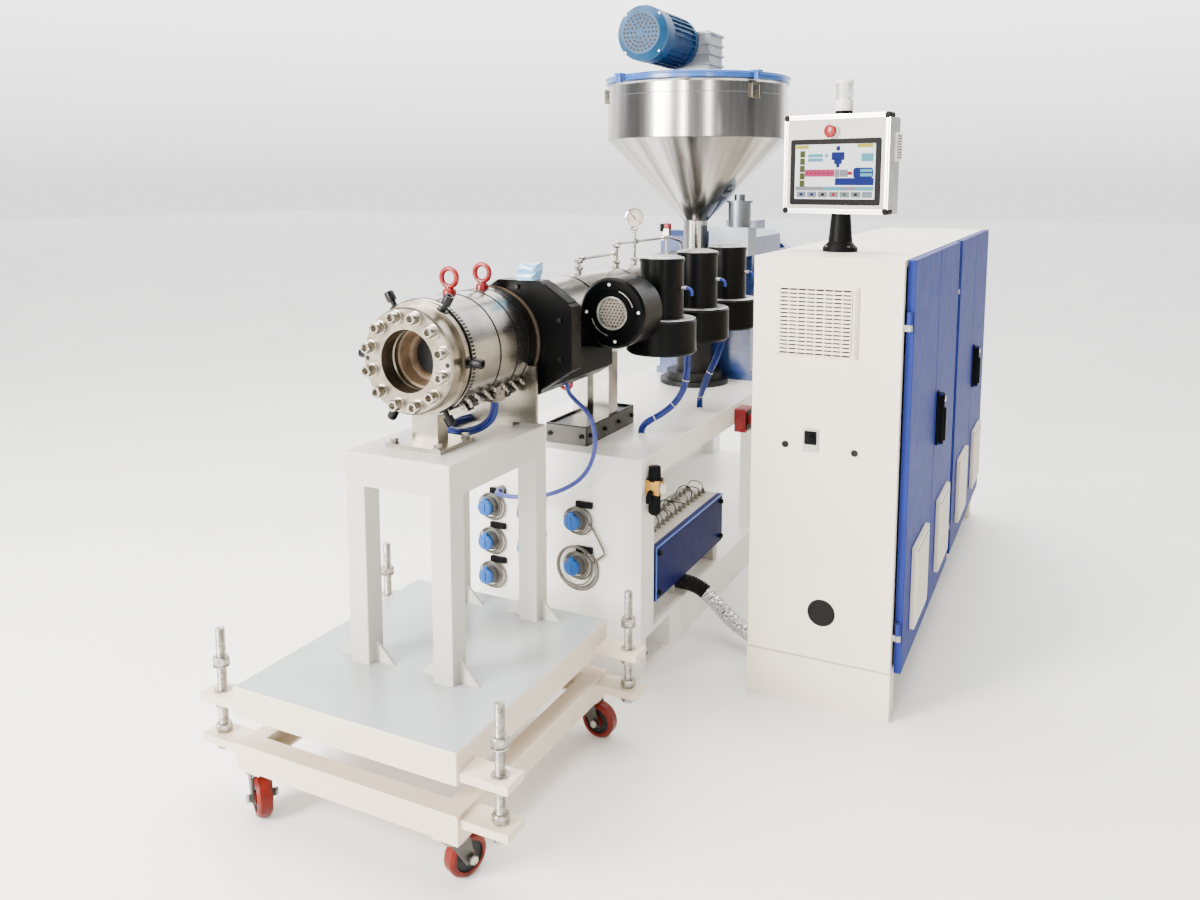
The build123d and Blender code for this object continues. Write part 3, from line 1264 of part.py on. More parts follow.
def beacon():
    """Signal lamp with a narrower base and a cap."""
    base = BEACON_DIA * 0.4
    lamp = BEACON_DIA / 2
    top = BEACON_HEIGHT
    body = lathe_z([(0, 0), (base, 0), (base, BEACON_BASE), (lamp, BEACON_BASE),
                    (lamp, top - BEACON_CAP), (base, top), (0, top)])
    return Pos(panel_x, panel_y, panel_bottom + PANEL_BOX_HEIGHT - PANEL_FRAME_EDGE) * body


def lead(name, points, dia, y0, z0):
    """Tube from a place, along straight runs joined by arcs as large as the runs allow."""
    stations = [Vector(x, y0 + y, z0 + z) for x, y, z in points]
    radii = []
    for before, corner, after in zip(stations, stations[1:], stations[2:]):
        turn = math.radians((corner - before).get_angle(after - corner))
        run = min((corner - before).length, (after - corner).length)
        radii.append(0.45 * run / math.tan(turn / 2))
    print(name, "radii", [round(radius) for radius in radii])
    path = FilletPolyline(*stations, radius=radii)
    tube = sweep(Plane(path @ 0, z_dir=path % 0) * Circle(dia / 2), path)
    share = tube.volume / (path.length * math.pi * dia ** 2 / 4)
    print(name, "length", round(path.length), "volume share", round(share, 4))
    return tube


nodes = {
    "trolley_side_beams": trolley_side_beams(),
    "trolley_end_beams": trolley_end_beams(),
    "platform": platform(),
    "jack_screws": jack_screws(),
    "table_legs": table_legs(),
    "table_top": table_top(),
    "die_supports": die_supports(),
    "die_body": die_body(),
    "die_flange": die_flange(),
    "heater_bands": heater_bands(),
    "eye_bolts": eye_bolts(),
    "front_hood": front_hood(),
    "barrel": barrel(),
    "barrel_column": barrel_column(),
    "slide_base": slide_base(),
    "feed_block": feed_block(),
    "blowers": blowers(),
    "oil_pipes": oil_pipes(),
    "hopper_shell": hopper_shell(),
    "hopper_lid": hopper_lid(),
    "agitator_gearbox": agitator_gearbox(),
    "agitator_motor": agitator_motor(),
    "side_vent": side_vent(),
    "main_gearbox": main_gearbox(),
    "main_motor": main_motor(),
    "base_sole": base_sole(),
    "base_posts": base_posts(),
    "base_rails": base_rails(),
    "base_top_plate": base_top_plate(),
    "base_panels": base_panels(),
    "control_sockets": control_sockets(),
    "junction_box": junction_box(),
    "junction_cover": junction_cover(),
    "air_regulator": air_regulator(),
    "stop_switch": stop_switch(),
    "cabinet_uprights": cabinet_uprights(),
    "cabinet_roof_and_floor": cabinet_roof_and_floor(),
    "cabinet_left_panel": cabinet_left_panel(),
    "cabinet_feet": cabinet_feet(),
    "door_hinges": door_hinges(),
    "panel_post": panel_post(),
    "panel_box": panel_box(),
    "beacon": beacon(),
}
nodes["foil_conduit"] = lead("foil_conduit", CONDUIT, CONDUIT_DIA, base_front, 0)
nodes["hood_lead"] = lead("hood_lead", HOOD_LEAD, HOOD_LEAD_DIA, base_front, base_height)
nodes["blower_lead_1"] = lead("blower_lead_1", BLOWER_LEAD_1, BLOWER_LEAD_DIA, base_front, base_height)
nodes["blower_lead_2"] = lead("blower_lead_2", BLOWER_LEAD_2, BLOWER_LEAD_DIA, base_front, base_height)
nodes["heater_lead"] = lead("heater_lead", HEATER_LEAD, HEATER_LEAD_DIA, die_front, table_height)
for caster_name, caster_x, caster_y in corners():
    nodes["caster_fork_" + caster_name] = caster_fork(caster_name, caster_x, caster_y)
    nodes["caster_wheel_" + caster_name] = caster_wheel(caster_name, caster_x, caster_y)
for door_index in range(4):
    nodes["cabinet_door_" + str(door_index + 1)] = cabinet_door(door_index)

os.makedirs("parts", exist_ok=True)
for name, solid in nodes.items():
    export_step(solid, os.path.join("parts", name + ".step"))
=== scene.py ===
"""Dresses a packed plastic extruder: fasteners, fittings, leads, finishes and a plain studio stage."""
import math
import bmesh
import bpy
import numpy as np
from bpy.props import FloatProperty, IntProperty, PointerProperty, StringProperty
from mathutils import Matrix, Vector


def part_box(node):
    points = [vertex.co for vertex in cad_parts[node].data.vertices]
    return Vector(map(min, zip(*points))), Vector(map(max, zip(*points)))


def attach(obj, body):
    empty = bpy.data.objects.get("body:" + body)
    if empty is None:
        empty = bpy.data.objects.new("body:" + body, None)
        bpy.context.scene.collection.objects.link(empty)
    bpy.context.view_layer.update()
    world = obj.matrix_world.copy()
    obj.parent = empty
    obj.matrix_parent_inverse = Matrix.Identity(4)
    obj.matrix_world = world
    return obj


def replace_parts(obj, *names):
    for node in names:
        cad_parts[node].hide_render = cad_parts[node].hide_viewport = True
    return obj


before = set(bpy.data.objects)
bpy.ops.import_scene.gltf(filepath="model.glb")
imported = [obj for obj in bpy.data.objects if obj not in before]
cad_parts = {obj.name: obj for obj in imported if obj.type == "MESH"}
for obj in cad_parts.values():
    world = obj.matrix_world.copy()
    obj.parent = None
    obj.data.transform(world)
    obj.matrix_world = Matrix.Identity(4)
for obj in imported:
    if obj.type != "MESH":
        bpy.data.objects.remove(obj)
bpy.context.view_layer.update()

bl_info = {
    "name": "Plastic extruder dressing",
    "version": (1, 0, 0),
    "blender": (4, 5, 0),
    "location": "View3D > Sidebar > Extruder",
    "description": "Adds the fittings, leads and finishes of a plastic extruder to its packed solids",
    "category": "Object",
}

MM = 0.001
FULL_TURN = 2 * math.pi
WELD = 2e-7
CREASE = math.radians(34)
ORIGIN = (0, 0, 0)

# Places in millimetres, in the part's frame: X to the cabinet, Y along the barrel, Z up.
AXIS = 1122
DIE_FRONT = -1885
BOLT_CIRCLE = 114.5
BORE = 79.8
BAND = 149.6
HOOD_FRONT = -1487
BASE_FRONT = -1125
THROAT_Y = 100
HOPPER_RADIUS = 370
RIM = 1978
TRAY_TOP = 330.5
CABINET_FRONT = -1035
DOOR_FACE = 1075
DOORS = np.array([[-1011, -524.5], [-519.5, -33], [43, 529.5], [534.5, 1021]])
PANEL_AT = np.array([801, -739, 1468.3])
PANEL_TURN = math.radians(-12)
GAUGE_TURN = math.radians(22)
JACKS = [(x, y, 0) for x in (-415, 415) for y in (-2132, -1468)]
JACK_FOOT, JACK_TOP = 130, 448
CASTERS = {"front_right": (294, -2139, 159), "front_left": (-294, -2139, 56),
           "rear_right": (294, -1461, 87), "rear_left": (-294, -1461, 60)}
SOCKETS = [(x, BASE_FRONT, z) for x, rows in ((-245, (497, 379, 261)), (-95, (497, 379)), (78, (497, 349)))
           for z in rows]
BLOWERS = [(300, y, 1330) for y in (-975, -665, -355)]
INTAKE = np.array([262, -1260, 1184])
MOTOR = np.array([-68, -330, 2125.2])

# Directions of a surface's own width, height and outward depth.
UPWARD = np.eye(3)
FRONT = np.array([[1, 0, 0], [0, 0, 1], [0, -1, 0]])
RIGHT = np.array([[0, 1, 0], [0, 0, 1], [1, 0, 0]])
LEFT = np.array([[0, -1, 0], [0, 0, 1], [-1, 0, 0]])
DOWN = np.array([[1, 0, 0], [0, -1, 0], [0, 0, -1]])
ALONG_Y = (0, 1, 0)
ASKEW = (0.36, 0.85, 0.39)
BOOT_LENGTH = 112

# Routes of the leads in millimetres, as control points of one smooth line each.
CONDUIT = [(262, -727, 178), (312, -727, 178), (360, -727, 161), (404, -730, 128), (448, -740, 95),
           (496, -758, 73), (548, -786, 65), (600, -814, 64), (652, -828, 64), (704, -828, 64)]
HOOD_LEAD = [(75, -1190, 957), (75, -1190, 925), (102, -1189, 897), (138, -1188, 872), (163, -1187, 834),
             (172, -1186, 785), (168, -1186, 735), (150, -1185, 687), (118, -1185, 646), (74, -1185, 614),
             (22, -1185, 588), (-36, -1186, 569), (-96, -1186, 559), (-146, -1186, 555), (-186, -1180, 553),
             (-205, -1163, 553), (-205, -1139, 553)]
BLOWER_LEAD_1 = [(303, -750, 1030), (303, -750, 988), (299, -742, 924), (284, -737, 860), (250, -742, 806),
                 (212, -768, 773), (180, -795, 754), (160, -812, 738), (160, -812, 715)]
BLOWER_LEAD_2 = [(305, -402, 1030), (305, -402, 988), (292, -426, 928), (266, -448, 860), (236, -432, 800),
                 (212, -392, 764), (198, -356, 746), (198, -356, 715)]
HEATER_LEAD = [(100, -1643, 985), (100, -1643, 952), (86, -1654, 925), (60, -1672, 907), (24, -1686, 900),
               (-18, -1683, 899), (-50, -1657, 899), (-63, -1614, 899), (-58, -1570, 899), (-58, -1527, 899)]

# Blocks of the display's mimic: colour, place from the display's middle, width and height in millimetres.
# Blocks that lie on others are raised a little, so that no two poles meet.
SCREEN_MIDDLE = 127
FLUSH, RAISED = 58.7, 59.1
TILES = (("yellow", -108, 76, 44, 11), ("yellow", 98, 77, 50, 11), ("cyan", -62, 49, 50, 10),
         ("cyan", -62, 36, 50, 10), ("cyan", -26, 49, 10, 10), ("cyan", 106, 42, 38, 24),
         ("blue", 12, 70, 12, 14), ("blue", 12, 47, 42, 24), ("blue", 12, 30, 26, 14),
         ("blue", 12, 19, 12, 12), ("pink", -48, -4, 98, 22), ("grey", 10, -5, 16, 24),
         ("grey", 32, -5, 26, 22), ("red", 50, -5, 18, 10), ("blue", 94, -4, 64, 32, 8),
         ("cyan", 104, 3, 38, 9, 0.6, RAISED), ("cyan", 104, -10, 38, 9, 0.6, RAISED),
         ("blue", 66, -30, 124, 22), ("grey", 0, -51, 256, 12), ("cyan", -4, -51, 60, 11, 0.6, RAISED),
         ("cyan", 98, -51, 58, 11, 0.6, RAISED))
MARKS = ("blue", "blue", "ink", "red", "green", "ink", "cyan")
DISPLAY_COLOURS = {"white": "#F2F4F4", "yellow": "#EFE44A", "olive": "#5F6A22", "cyan": "#6FCFE4",
                   "blue": "#17268C", "pink": "#DE3C86", "grey": "#A9AAB4", "red": "#C81E1C",
                   "green": "#2C8A48", "ink": "#15171E"}

# Lights in metres: place, aim, size and share of the key light's power.
LIGHTS = {"key": ((-2.7, -6.2, 3.0), (0.1, -0.8, 0.9), (2.2, 3.4), 1.0),
          "strip": ((3.6, -5.2, 2.4), (0.3, -0.6, 1.1), (0.5, 3.2), 0.07),
          "bar": ((0.4, -7.0, 2.4), (0.0, -0.4, 1.3), (0.6, 3.2), 0.12),
          "top": ((0.0, -0.6, 5.4), (0.1, -0.5, 0.6), (3.6, 4.4), 0.4)}
LAMP_COLOUR = "#FFFAF3"
FLOOR_REACH = 40
CAMERA_AT = (1.512, -3.853, 1.562)
CAMERA_AZIMUTH, CAMERA_PITCH = math.radians(26.41), math.radians(7.05)
CAMERA_LENS, CAMERA_SENSOR, CAMERA_SHIFT = 29.90, 36.0, -0.12


class ExtruderSizes(bpy.types.PropertyGroup):
    """Sizes of the fittings that a user would change."""
    flange_bolts: IntProperty(name="Flange bolts", description="Socket head bolts round the die", default=12)
    bolt_head: FloatProperty(name="Bolt head", description="Diameter of a flange bolt's head", default=0.030,
                             unit="LENGTH")
    thread_pitch: FloatProperty(name="Thread pitch", description="Pitch of the jack screws, drawn coarse",
                                default=0.0045, unit="LENGTH")
    louvre_pitch: FloatProperty(name="Louvre pitch", description="Spacing of the vents' slats",
                                default=0.0115, unit="LENGTH")
    mesh_pitch: FloatProperty(name="Mesh pitch", description="Wire spacing of the blower's intake",
                              default=0.0095, unit="LENGTH")
    rib_pitch: FloatProperty(name="Rib pitch", description="Spacing of the ribs on the hood's lead",
                             default=0.004, unit="LENGTH")
    key_power: FloatProperty(name="Key light", description="Power of the key light in watts", default=1250.0)


class ExtruderColours(bpy.types.PropertyGroup):
    """Paint and plastic colours as sRGB hex values."""
    cream: StringProperty(name="Cream", description="Powder coat of the trolley", default="#D9CBB7")
    cabinet: StringProperty(name="Cabinet", description="Powder coat of the cabinet", default="#ECE3D0")
    doors: StringProperty(name="Doors", description="Powder coat of the cabinet doors", default="#27337A")
    black: StringProperty(name="Black", description="Coat of hood and blowers", default="#050607")
    eyes: StringProperty(name="Lifting eyes", description="Paint of the lifting eyes", default="#8E0A12")
    lid: StringProperty(name="Hopper lid", description="Paint of the hopper lid", default="#2F62B0")
    motor: StringProperty(name="Agitator motor", description="Enamel of the motor", default="#1E4A70")
    leads: StringProperty(name="Leads", description="Sleeve of the leads", default="#1C2F7C")
    treads: StringProperty(name="Treads", description="Polyurethane of the wheels", default="#6E180C")
    sockets: StringProperty(name="Socket flaps", description="Plastic of the flaps", default="#0F55A6")


def evenly(count):
    """Angles that part a full turn evenly, from zero on."""
    return np.linspace(0, FULL_TURN, count, endpoint=False)


def grid_faces(rows, columns, closed=False):
    """Quads between neighbouring points of rows that close on themselves; the last row may join the first."""
    i, j = np.arange(rows if closed else rows - 1)[:, None], np.arange(columns)[None, :]
    i1, j1 = (i + 1) % rows, (j + 1) % columns
    corners = [i * columns + j, i * columns + j1, i1 * columns + j1, i1 * columns + j]
    return np.stack(corners, axis=-1).reshape(-1, 4)


def placed(points, centre, basis):
    """Own coordinates times the three directions, plus the centre."""
    return points.reshape(-1, 3) @ np.asarray(basis, float) + np.asarray(centre, float)


def spun(radius, level, centre, basis, closed=False):
    """Surface round an axis: a row's radius r at the angle u and its level h give (r cos u, r sin u, h)."""
    u = evenly(radius.shape[1])
    points = np.stack(np.broadcast_arrays(radius * np.cos(u), radius * np.sin(u), level), axis=-1)
    return placed(points, centre, basis), grid_faces(*radius.shape, closed)


def lathe(profile, centre=ORIGIN, basis=UPWARD, turns=48, closed=False):
    """Surface of revolution: a profile's point (r, h) turned by the angle u is (r cos u, r sin u, h)."""
    outline = np.asarray(profile, float)
    return spun(np.repeat(outline[:, :1], turns, axis=1), outline[:, 1:], centre, basis, closed)


def disc(radius, height, centre=ORIGIN, basis=UPWARD, turns=48, low=0):
    """Short cylinder: a rectangle from the axis to the radius, turned round the axis."""
    return lathe([(0, low), (radius, low), (radius, low + height), (0, low + height)], centre, basis, turns)


def hoop(inner, outer, low, high, centre=ORIGIN, basis=UPWARD, turns=96):
    """Flat ring: a rectangle between two radii and two levels, turned round the axis."""
    return lathe([(inner, low), (outer, low), (outer, high), (inner, high)], centre, basis, turns, True)


def torus(ring, bar, centre, basis=UPWARD, turns=64, sides=16):
    """Ring: a circle of the bar's radius carried round a circle of the ring's radius."""
    v = evenly(sides)
    return lathe(np.stack([ring + bar * np.cos(v), bar * np.sin(v)], axis=-1), centre, basis, turns, True)


def loft(rings):
    """Closed skin over outlines (level, point, xyz), each end drawn together at the middle of its outline."""
    ends = rings.mean(axis=1, keepdims=True)
    skin = np.concatenate([np.broadcast_to(ends[:1], rings[:1].shape), rings,
                           np.broadcast_to(ends[-1:], rings[-1:].shape)])
    return skin.reshape(-1, 3), grid_faces(*skin.shape[:2])


def rounded_outline(width, height, corner, steps=5):
    """Rounded rectangle: each corner's centre plus its radius times (cos a, sin a), a quarter turn each."""
    turn = np.linspace(0, np.pi / 2, steps)[None, :] + np.arange(4)[:, None] * np.pi / 2
    signs = np.array([[1, 1], [-1, 1], [-1, -1], [1, -1]])[:, None, :]
    centre = signs * np.array([width / 2 - corner, height / 2 - corner])
    return (centre + corner * np.stack([np.cos(turn), np.sin(turn)], axis=-1)).reshape(-1, 2)


def slab(width, height, depth, centre, basis=UPWARD, corner=2.0, bevel=1.0, steps=5):
    """Plate: a rounded rectangle carried outwards through its depth, drawn in by the bevel at both ends."""
    corner = min(corner, width / 2 - 0.01, height / 2 - 0.01)
    bevel = min(bevel, corner * 0.8, depth * 0.45)
    full = rounded_outline(width, height, corner, steps)
    less = rounded_outline(width - 2 * bevel, height - 2 * bevel, corner - bevel, steps)
    levels = ((less, 0), (full, bevel), (full, depth - bevel), (less, depth))
    points, faces = loft(np.stack([np.column_stack([line, np.full(len(line), level)])
                                   for line, level in levels]))
    return placed(points, centre, basis), faces


def hexagon(u, flats):
    """Radius of a hexagon over flats at the angle u: half the flats over the cosine from a flat's middle."""
    return flats / 2 / np.cos((u + np.pi / 6) % (np.pi / 3) - np.pi / 6)


def hex_nut(flats, height, centre=ORIGIN, basis=UPWARD, bore=0):
    """Nut or hexagon head: the hexagon's radius, held under a cone at both ends that rounds the corners."""
    share = np.array([0, 0, 0.12, 0.5, 0.88, 1, 1])[:, None]
    cone = flats * 0.49
    reach = np.array([bore / 2, cone, flats, flats, flats, cone, bore / 2])[:, None]
    return spun(np.minimum(hexagon(evenly(48), flats), reach), share * height, centre, basis, bore > 0)


def socket_head(head, height, centre=ORIGIN, basis=UPWARD, turns=72):
    """Socket head: a knurled cylinder r (1 + k cos 36u) with an eased rim and a hexagon recess."""
    u, rim = evenly(turns), np.full(turns, head / 2)
    knurl, recess = rim * (1 + 0.012 * np.cos(36 * u)), hexagon(u, head * 0.52)
    radius, share = zip((rim * 0, 0), (knurl, 0), (knurl, 0.86), (rim * 0.97, 0.9), (rim * 0.88, 1),
                        (recess * 1.12, 1), (recess, 0.95), (recess, 0.45), (recess * 0, 0.4))
    return spun(np.stack(radius), np.array(share)[:, None] * height, centre, basis)


def normals(along, up):
    """Unit directions along a line and twice across it, the first of these square to the up direction."""
    along = along / np.linalg.norm(along, axis=-1, keepdims=True)
    first = np.cross(along, up)
    first = first / np.linalg.norm(first, axis=-1, keepdims=True)
    return along, first, np.cross(along, first)


def tube(path, radius, up=(0, 0, 1), sides=14):
    """Round profile along a path: each point plus its radius times the cosine and sine of two normals."""
    path, size = np.asarray(path, float), np.asarray(radius, float)
    _, first, second = normals(np.gradient(path, axis=0), up)
    v = evenly(sides)[None, :, None]
    size = size[:, :, None] if size.ndim == 2 else size.reshape(-1, 1, 1)
    return loft(path[:, None] + size * (np.cos(v) * first[:, None] + np.sin(v) * second[:, None]))


def join(*patches):
    """Several surfaces as one, with the faces of each counted on from the one before."""
    starts = np.cumsum([0] + [len(points) for points, _ in patches[:-1]])
    return (np.concatenate([points for points, _ in patches]),
            np.concatenate([faces + start for (_, faces), start in zip(patches, starts)]))


def copied(faces, copies, size):
    """Faces of equal copies, each counted on by the size of the one before."""
    return (faces[None] + np.arange(copies)[:, None, None] * size).reshape(-1, 4)


def shifted(patch, offsets):
    """Copies of a surface, one at each offset."""
    points, faces = patch
    offsets = np.asarray(offsets, float)
    return (points[None] + offsets[:, None]).reshape(-1, 3), copied(faces, len(offsets), len(points))


def turned(patch, angles, centre, basis=FRONT):
    """Copies of a surface, turned by each angle about the outward direction through the centre."""
    points, faces = patch
    x, y, z = np.asarray(basis) @ (points - centre).T
    cos, sin = np.cos(angles)[:, None], np.sin(angles)[:, None]
    many = np.stack(np.broadcast_arrays(x * cos - y * sin, x * sin + y * cos, z), axis=-1)
    return placed(many, centre, basis), copied(faces, len(cos), len(points))


def round_places(radius, angles, centre, basis=FRONT):
    """Points on a circle: the radius times (cos a, sin a) in the plane of the basis, plus the centre."""
    return placed(np.stack([radius * np.cos(angles), radius * np.sin(angles), 0 * angles], axis=-1), centre,
                  basis)


def louvres(at, basis, wide, tall, slat, depth, count, pitch, bars):
    """Slats one above the other at the pitch, and upright bars that part their width evenly."""
    rise = np.outer((np.arange(count) - (count - 1) / 2) * pitch, basis[1])
    aside = np.outer(np.linspace(-wide / 2, wide / 2, bars), basis[0])
    return join(shifted(slab(wide, slat, depth, at, basis, 1.6, 0.8, 3), rise),
                shifted(slab(3, tall, depth - 0.8, at, basis, 1, 0.5, 3), aside))


def upright(turn):
    """Directions of an upright face that looks to the front, turned about the vertical."""
    cos, sin = math.cos(turn), math.sin(turn)
    return np.array([[cos, sin, 0], [0, 0, 1], [sin, -cos, 0]])


def on_panel(width, height, out):
    """Point on the operator panel, from its foot's middle and out from its swivel axis."""
    return PANEL_AT + np.array([width, height, out]) @ upright(PANEL_TURN)


def spline_points(name, route, resolution):
    """Points of a smooth line whose control points are the route, in millimetres."""
    curve = bpy.data.curves.new(name, "CURVE")
    curve.dimensions = "3D"
    spline = curve.splines.new("NURBS")
    spline.points.add(len(route) - 1)
    spline.points.foreach_set("co", np.column_stack([np.asarray(route, float), np.ones(len(route))]).ravel())
    spline.order_u = 3
    spline.use_endpoint_u = True
    spline.resolution_u = resolution
    holder = bpy.data.objects.new(name, curve)
    mesh = bpy.data.meshes.new_from_object(holder)
    points = np.empty(len(mesh.vertices) * 3)
    mesh.vertices.foreach_get("co", points)
    bpy.data.objects.remove(holder)
    bpy.data.curves.remove(curve)
    bpy.data.meshes.remove(mesh)
    return points.reshape(-1, 3)


def run_length(path):
    """Distance along a path up to each of its points."""
    return np.concatenate([[0], np.cumsum(np.linalg.norm(np.diff(path, axis=0), axis=1))])


def strands(path, count, lay, radius, twist):
    """Strands side by side: each runs at the lay's radius round the path and turns slowly with its length."""
    _, first, second = normals(np.gradient(path, axis=0), ASKEW)
    way = run_length(path)[:, None] * twist
    return join(*[tube(path + lay * (np.cos(way + turn) * first + np.sin(way + turn) * second), radius, ASKEW,
                       10) for turn in evenly(count)])


def tie(path, share):
    """Cable tie: a ring across the path at a share of its points."""
    index = int(len(path) * share)
    along, first, second = normals(path[index + 1] - path[index - 1], ASKEW)
    return torus(11.6, 1.4, path[index], np.array([first, second, along]), 24, 8)


def make_piece(name, slot, *layers, body="machine"):
    """Puts surfaces with materials into one mesh at the origin, welds its poles and points it outwards."""
    points, faces = join(*[patch for patch, _ in layers])
    owners = np.repeat(np.arange(len(layers)), [len(patch[1]) for patch, _ in layers])
    mesh = bpy.data.meshes.new(name)
    mesh.vertices.add(len(points))
    mesh.vertices.foreach_set("co", (points * MM).ravel())
    mesh.loops.add(faces.size)
    mesh.loops.foreach_set("vertex_index", faces.ravel().astype(np.int32))
    mesh.polygons.add(len(faces))
    mesh.polygons.foreach_set("loop_start", np.arange(0, faces.size, 4, dtype=np.int32))
    for _, material in layers:
        mesh.materials.append(bpy.data.materials[material])
    mesh.polygons.foreach_set("material_index", owners.astype(np.int32))
    mesh.update(calc_edges=True)
    work = bmesh.new()
    work.from_mesh(mesh)
    bmesh.ops.remove_doubles(work, verts=work.verts, dist=WELD)
    bmesh.ops.recalc_face_normals(work, faces=work.faces)
    work.to_mesh(mesh)
    work.free()
    mesh.polygons.foreach_set("use_smooth", np.ones(len(mesh.polygons), dtype=bool))
    mesh.set_sharp_from_angle(angle=CREASE)
    piece = bpy.data.objects.new(name, mesh)
    bpy.context.scene.collection.objects.link(piece)
    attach(piece, body)
    return piece


def declare_lead(piece, node, path, diameter, stiffness, lay="hanging", **more):
    """Hides the CAD tube of a lead, whose place the piece takes; the lead leaves the object and goes back into
    it.
    """
    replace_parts(piece, node)


def linear(hex_value):
    """Linear colour of an sRGB hex value."""
    value = np.array([int(hex_value[i:i + 2], 16) for i in (1, 3, 5)]) / 255
    value = np.where(value <= 0.04045, value / 12.92, ((value + 0.055) / 1.055) ** 2.4)
    return (*value.tolist(), 1.0)


def per_metre(millimetres):
    """Scale of a pattern whose features have that size."""
    return 1000 / millimetres


def add(tree, kind, inputs=None, **settings):
    """Adds a node with its settings, fills its sockets with values or links, and returns its outputs."""
    node = tree.nodes.new("ShaderNode" + kind)
    for key, value in settings.items():
        setattr(node, key, value)
    for key, value in (inputs or {}).items():
        if isinstance(value, bpy.types.NodeSocket):
            tree.links.new(value, node.inputs[key])
        else:
            node.inputs[key].default_value = value
    return node.outputs


def new_finish(name, **sockets):
    """Empty material with a shader whose constant sockets are set, and the object's own coordinates."""
    material = bpy.data.materials.new(name)
    material.use_nodes = True
    tree = material.node_tree
    shader = tree.nodes["Principled BSDF"]
    for key, value in sockets.items():
        shader.inputs[key.replace("_", " ")].default_value = value
    return tree, shader, add(tree, "TexCoord")["Object"]


def dress(tree, shader, tone=None, colours=(), height=None, depth=0, strength=0.5, rough=None, span=()):
    """Links patterns to a shader: one mixes two colours, one raises the skin in mm, one sets its gloss."""
    if tone:
        first, second = (linear(c) if isinstance(c, str) else c for c in colours)
        mix = add(tree, "Mix", {"Factor": tone, 6: first, 7: second}, data_type="RGBA")
        tree.links.new(mix[2], shader.inputs["Base Color"])
    if height:
        bump = add(tree, "Bump", {"Height": height, "Distance": depth * MM, "Strength": strength})
        tree.links.new(bump["Normal"], shader.inputs["Normal"])
    if rough:
        gloss = add(tree, "MapRange", {"Value": rough, "To Min": span[0], "To Max": span[1]})
        tree.links.new(gloss["Result"], shader.inputs["Roughness"])


def mottle(tree, shader, place, colours, size, share, detail=3):
    """Lets the first colour drift towards the second in soft patches of a size in millimetres."""
    noise = add(tree, "TexNoise", {"Vector": place, "Scale": per_metre(size), "Detail": detail})
    ramp = add(tree, "MapRange", {"Value": noise["Fac"], "From Min": 0.35, "From Max": 0.75, "To Max": share})
    dress(tree, shader, ramp["Result"], colours)
    return noise["Fac"]


# The grains, scratches and rings below are drawn coarser than real ones, which would be too fine to show.
def powder_coat(name, colour, shade, low=0.36, high=0.5, grain=2.5, shine=0.5):
    """Baked powder coat: an even satin skin with a fine orange peel and faint handling marks."""
    tree, shader, place = new_finish(name, IOR=1.5, Specular_IOR_Level=shine)
    mottle(tree, shader, place, (colour, shade), 210, 0.5)
    peel = add(tree, "TexNoise", {"Vector": place, "Scale": per_metre(grain), "Detail": 2})
    haze = add(tree, "TexNoise", {"Vector": place, "Scale": per_metre(60), "Detail": 4})
    dress(tree, shader, height=peel["Fac"], depth=0.12, rough=haze["Fac"], span=(low, high))


def topped_coat(name, colour, top, shade, height):
    """Powder coat whose top above a height is painted a cooler grey in cloudy patches, a painted reflection of
    the room; its rim stays cream.
    """
    tree, shader, place = new_finish(name, IOR=1.5)
    cloud = add(tree, "TexNoise", {"Vector": place, "Scale": per_metre(240), "Detail": 3})
    # The top's cooler grey in cloudy patches is a painted reflection of the room, not a second paint.
    painted_reflection = add(tree, "Mix", {"Factor": cloud["Fac"], 6: linear(top), 7: linear(shade)}, data_type="RGBA")
    split = add(tree, "SeparateXYZ", {"Vector": place})
    level = add(tree, "Math", {0: split["Z"], 1: height * MM}, operation="GREATER_THAN")["Value"]
    dress(tree, shader, level, (colour, painted_reflection[2]), rough=level, span=(0.42, 0.24))


def enamel(name, colour, shade, low=0.18, high=0.34, peel=7, shine=0.5):
    """Sprayed enamel over castings: glossy, with orange peel and darker hollows where dust settles."""
    tree, shader, place = new_finish(name, IOR=1.5, Specular_IOR_Level=shine, Coat_Weight=0.5 * shine,
                                     Coat_Roughness=0.12)
    dust = mottle(tree, shader, place, (colour, shade), 55, 0.65)
    wave = add(tree, "TexNoise", {"Vector": place, "Scale": per_metre(peel), "Detail": 3})
    dress(tree, shader, height=wave["Fac"], depth=0.25, strength=0.6, rough=dust, span=(low, high))


def moulded(name, colour, shade, low=0.35, high=0.5, grain=1.2, shine=0.5):
    """Moulded plastic or rubber: an even colour under a fine spark-eroded grain."""
    tree, shader, place = new_finish(name, IOR=1.47, Specular_IOR_Level=shine)
    mottle(tree, shader, place, (colour, shade), 24, 0.5)
    grit = add(tree, "TexVoronoi", {"Vector": place, "Scale": per_metre(grain)})
    dress(tree, shader, height=grit["Distance"], depth=0.08, rough=grit["Color"], span=(low, high))


def brushed_steel(name, colour, shade, stretch=(1, 1, 1), low=0.2, high=0.38, line=1.6, depth=0.05):
    """Brushed or drawn steel: long fine scratches that run along one direction and spread the highlights."""
    tree, shader, place = new_finish(name, Metallic=1)
    mottle(tree, shader, place, (colour, shade), 90, 0.6, 5)
    lay = add(tree, "Mapping", {"Vector": place, "Scale": stretch})
    lines = add(tree, "TexNoise", {"Vector": lay["Vector"], "Scale": per_metre(line), "Detail": 4})["Fac"]
    dress(tree, shader, height=lines, depth=depth, strength=0.6, rough=lines, span=(low, high))


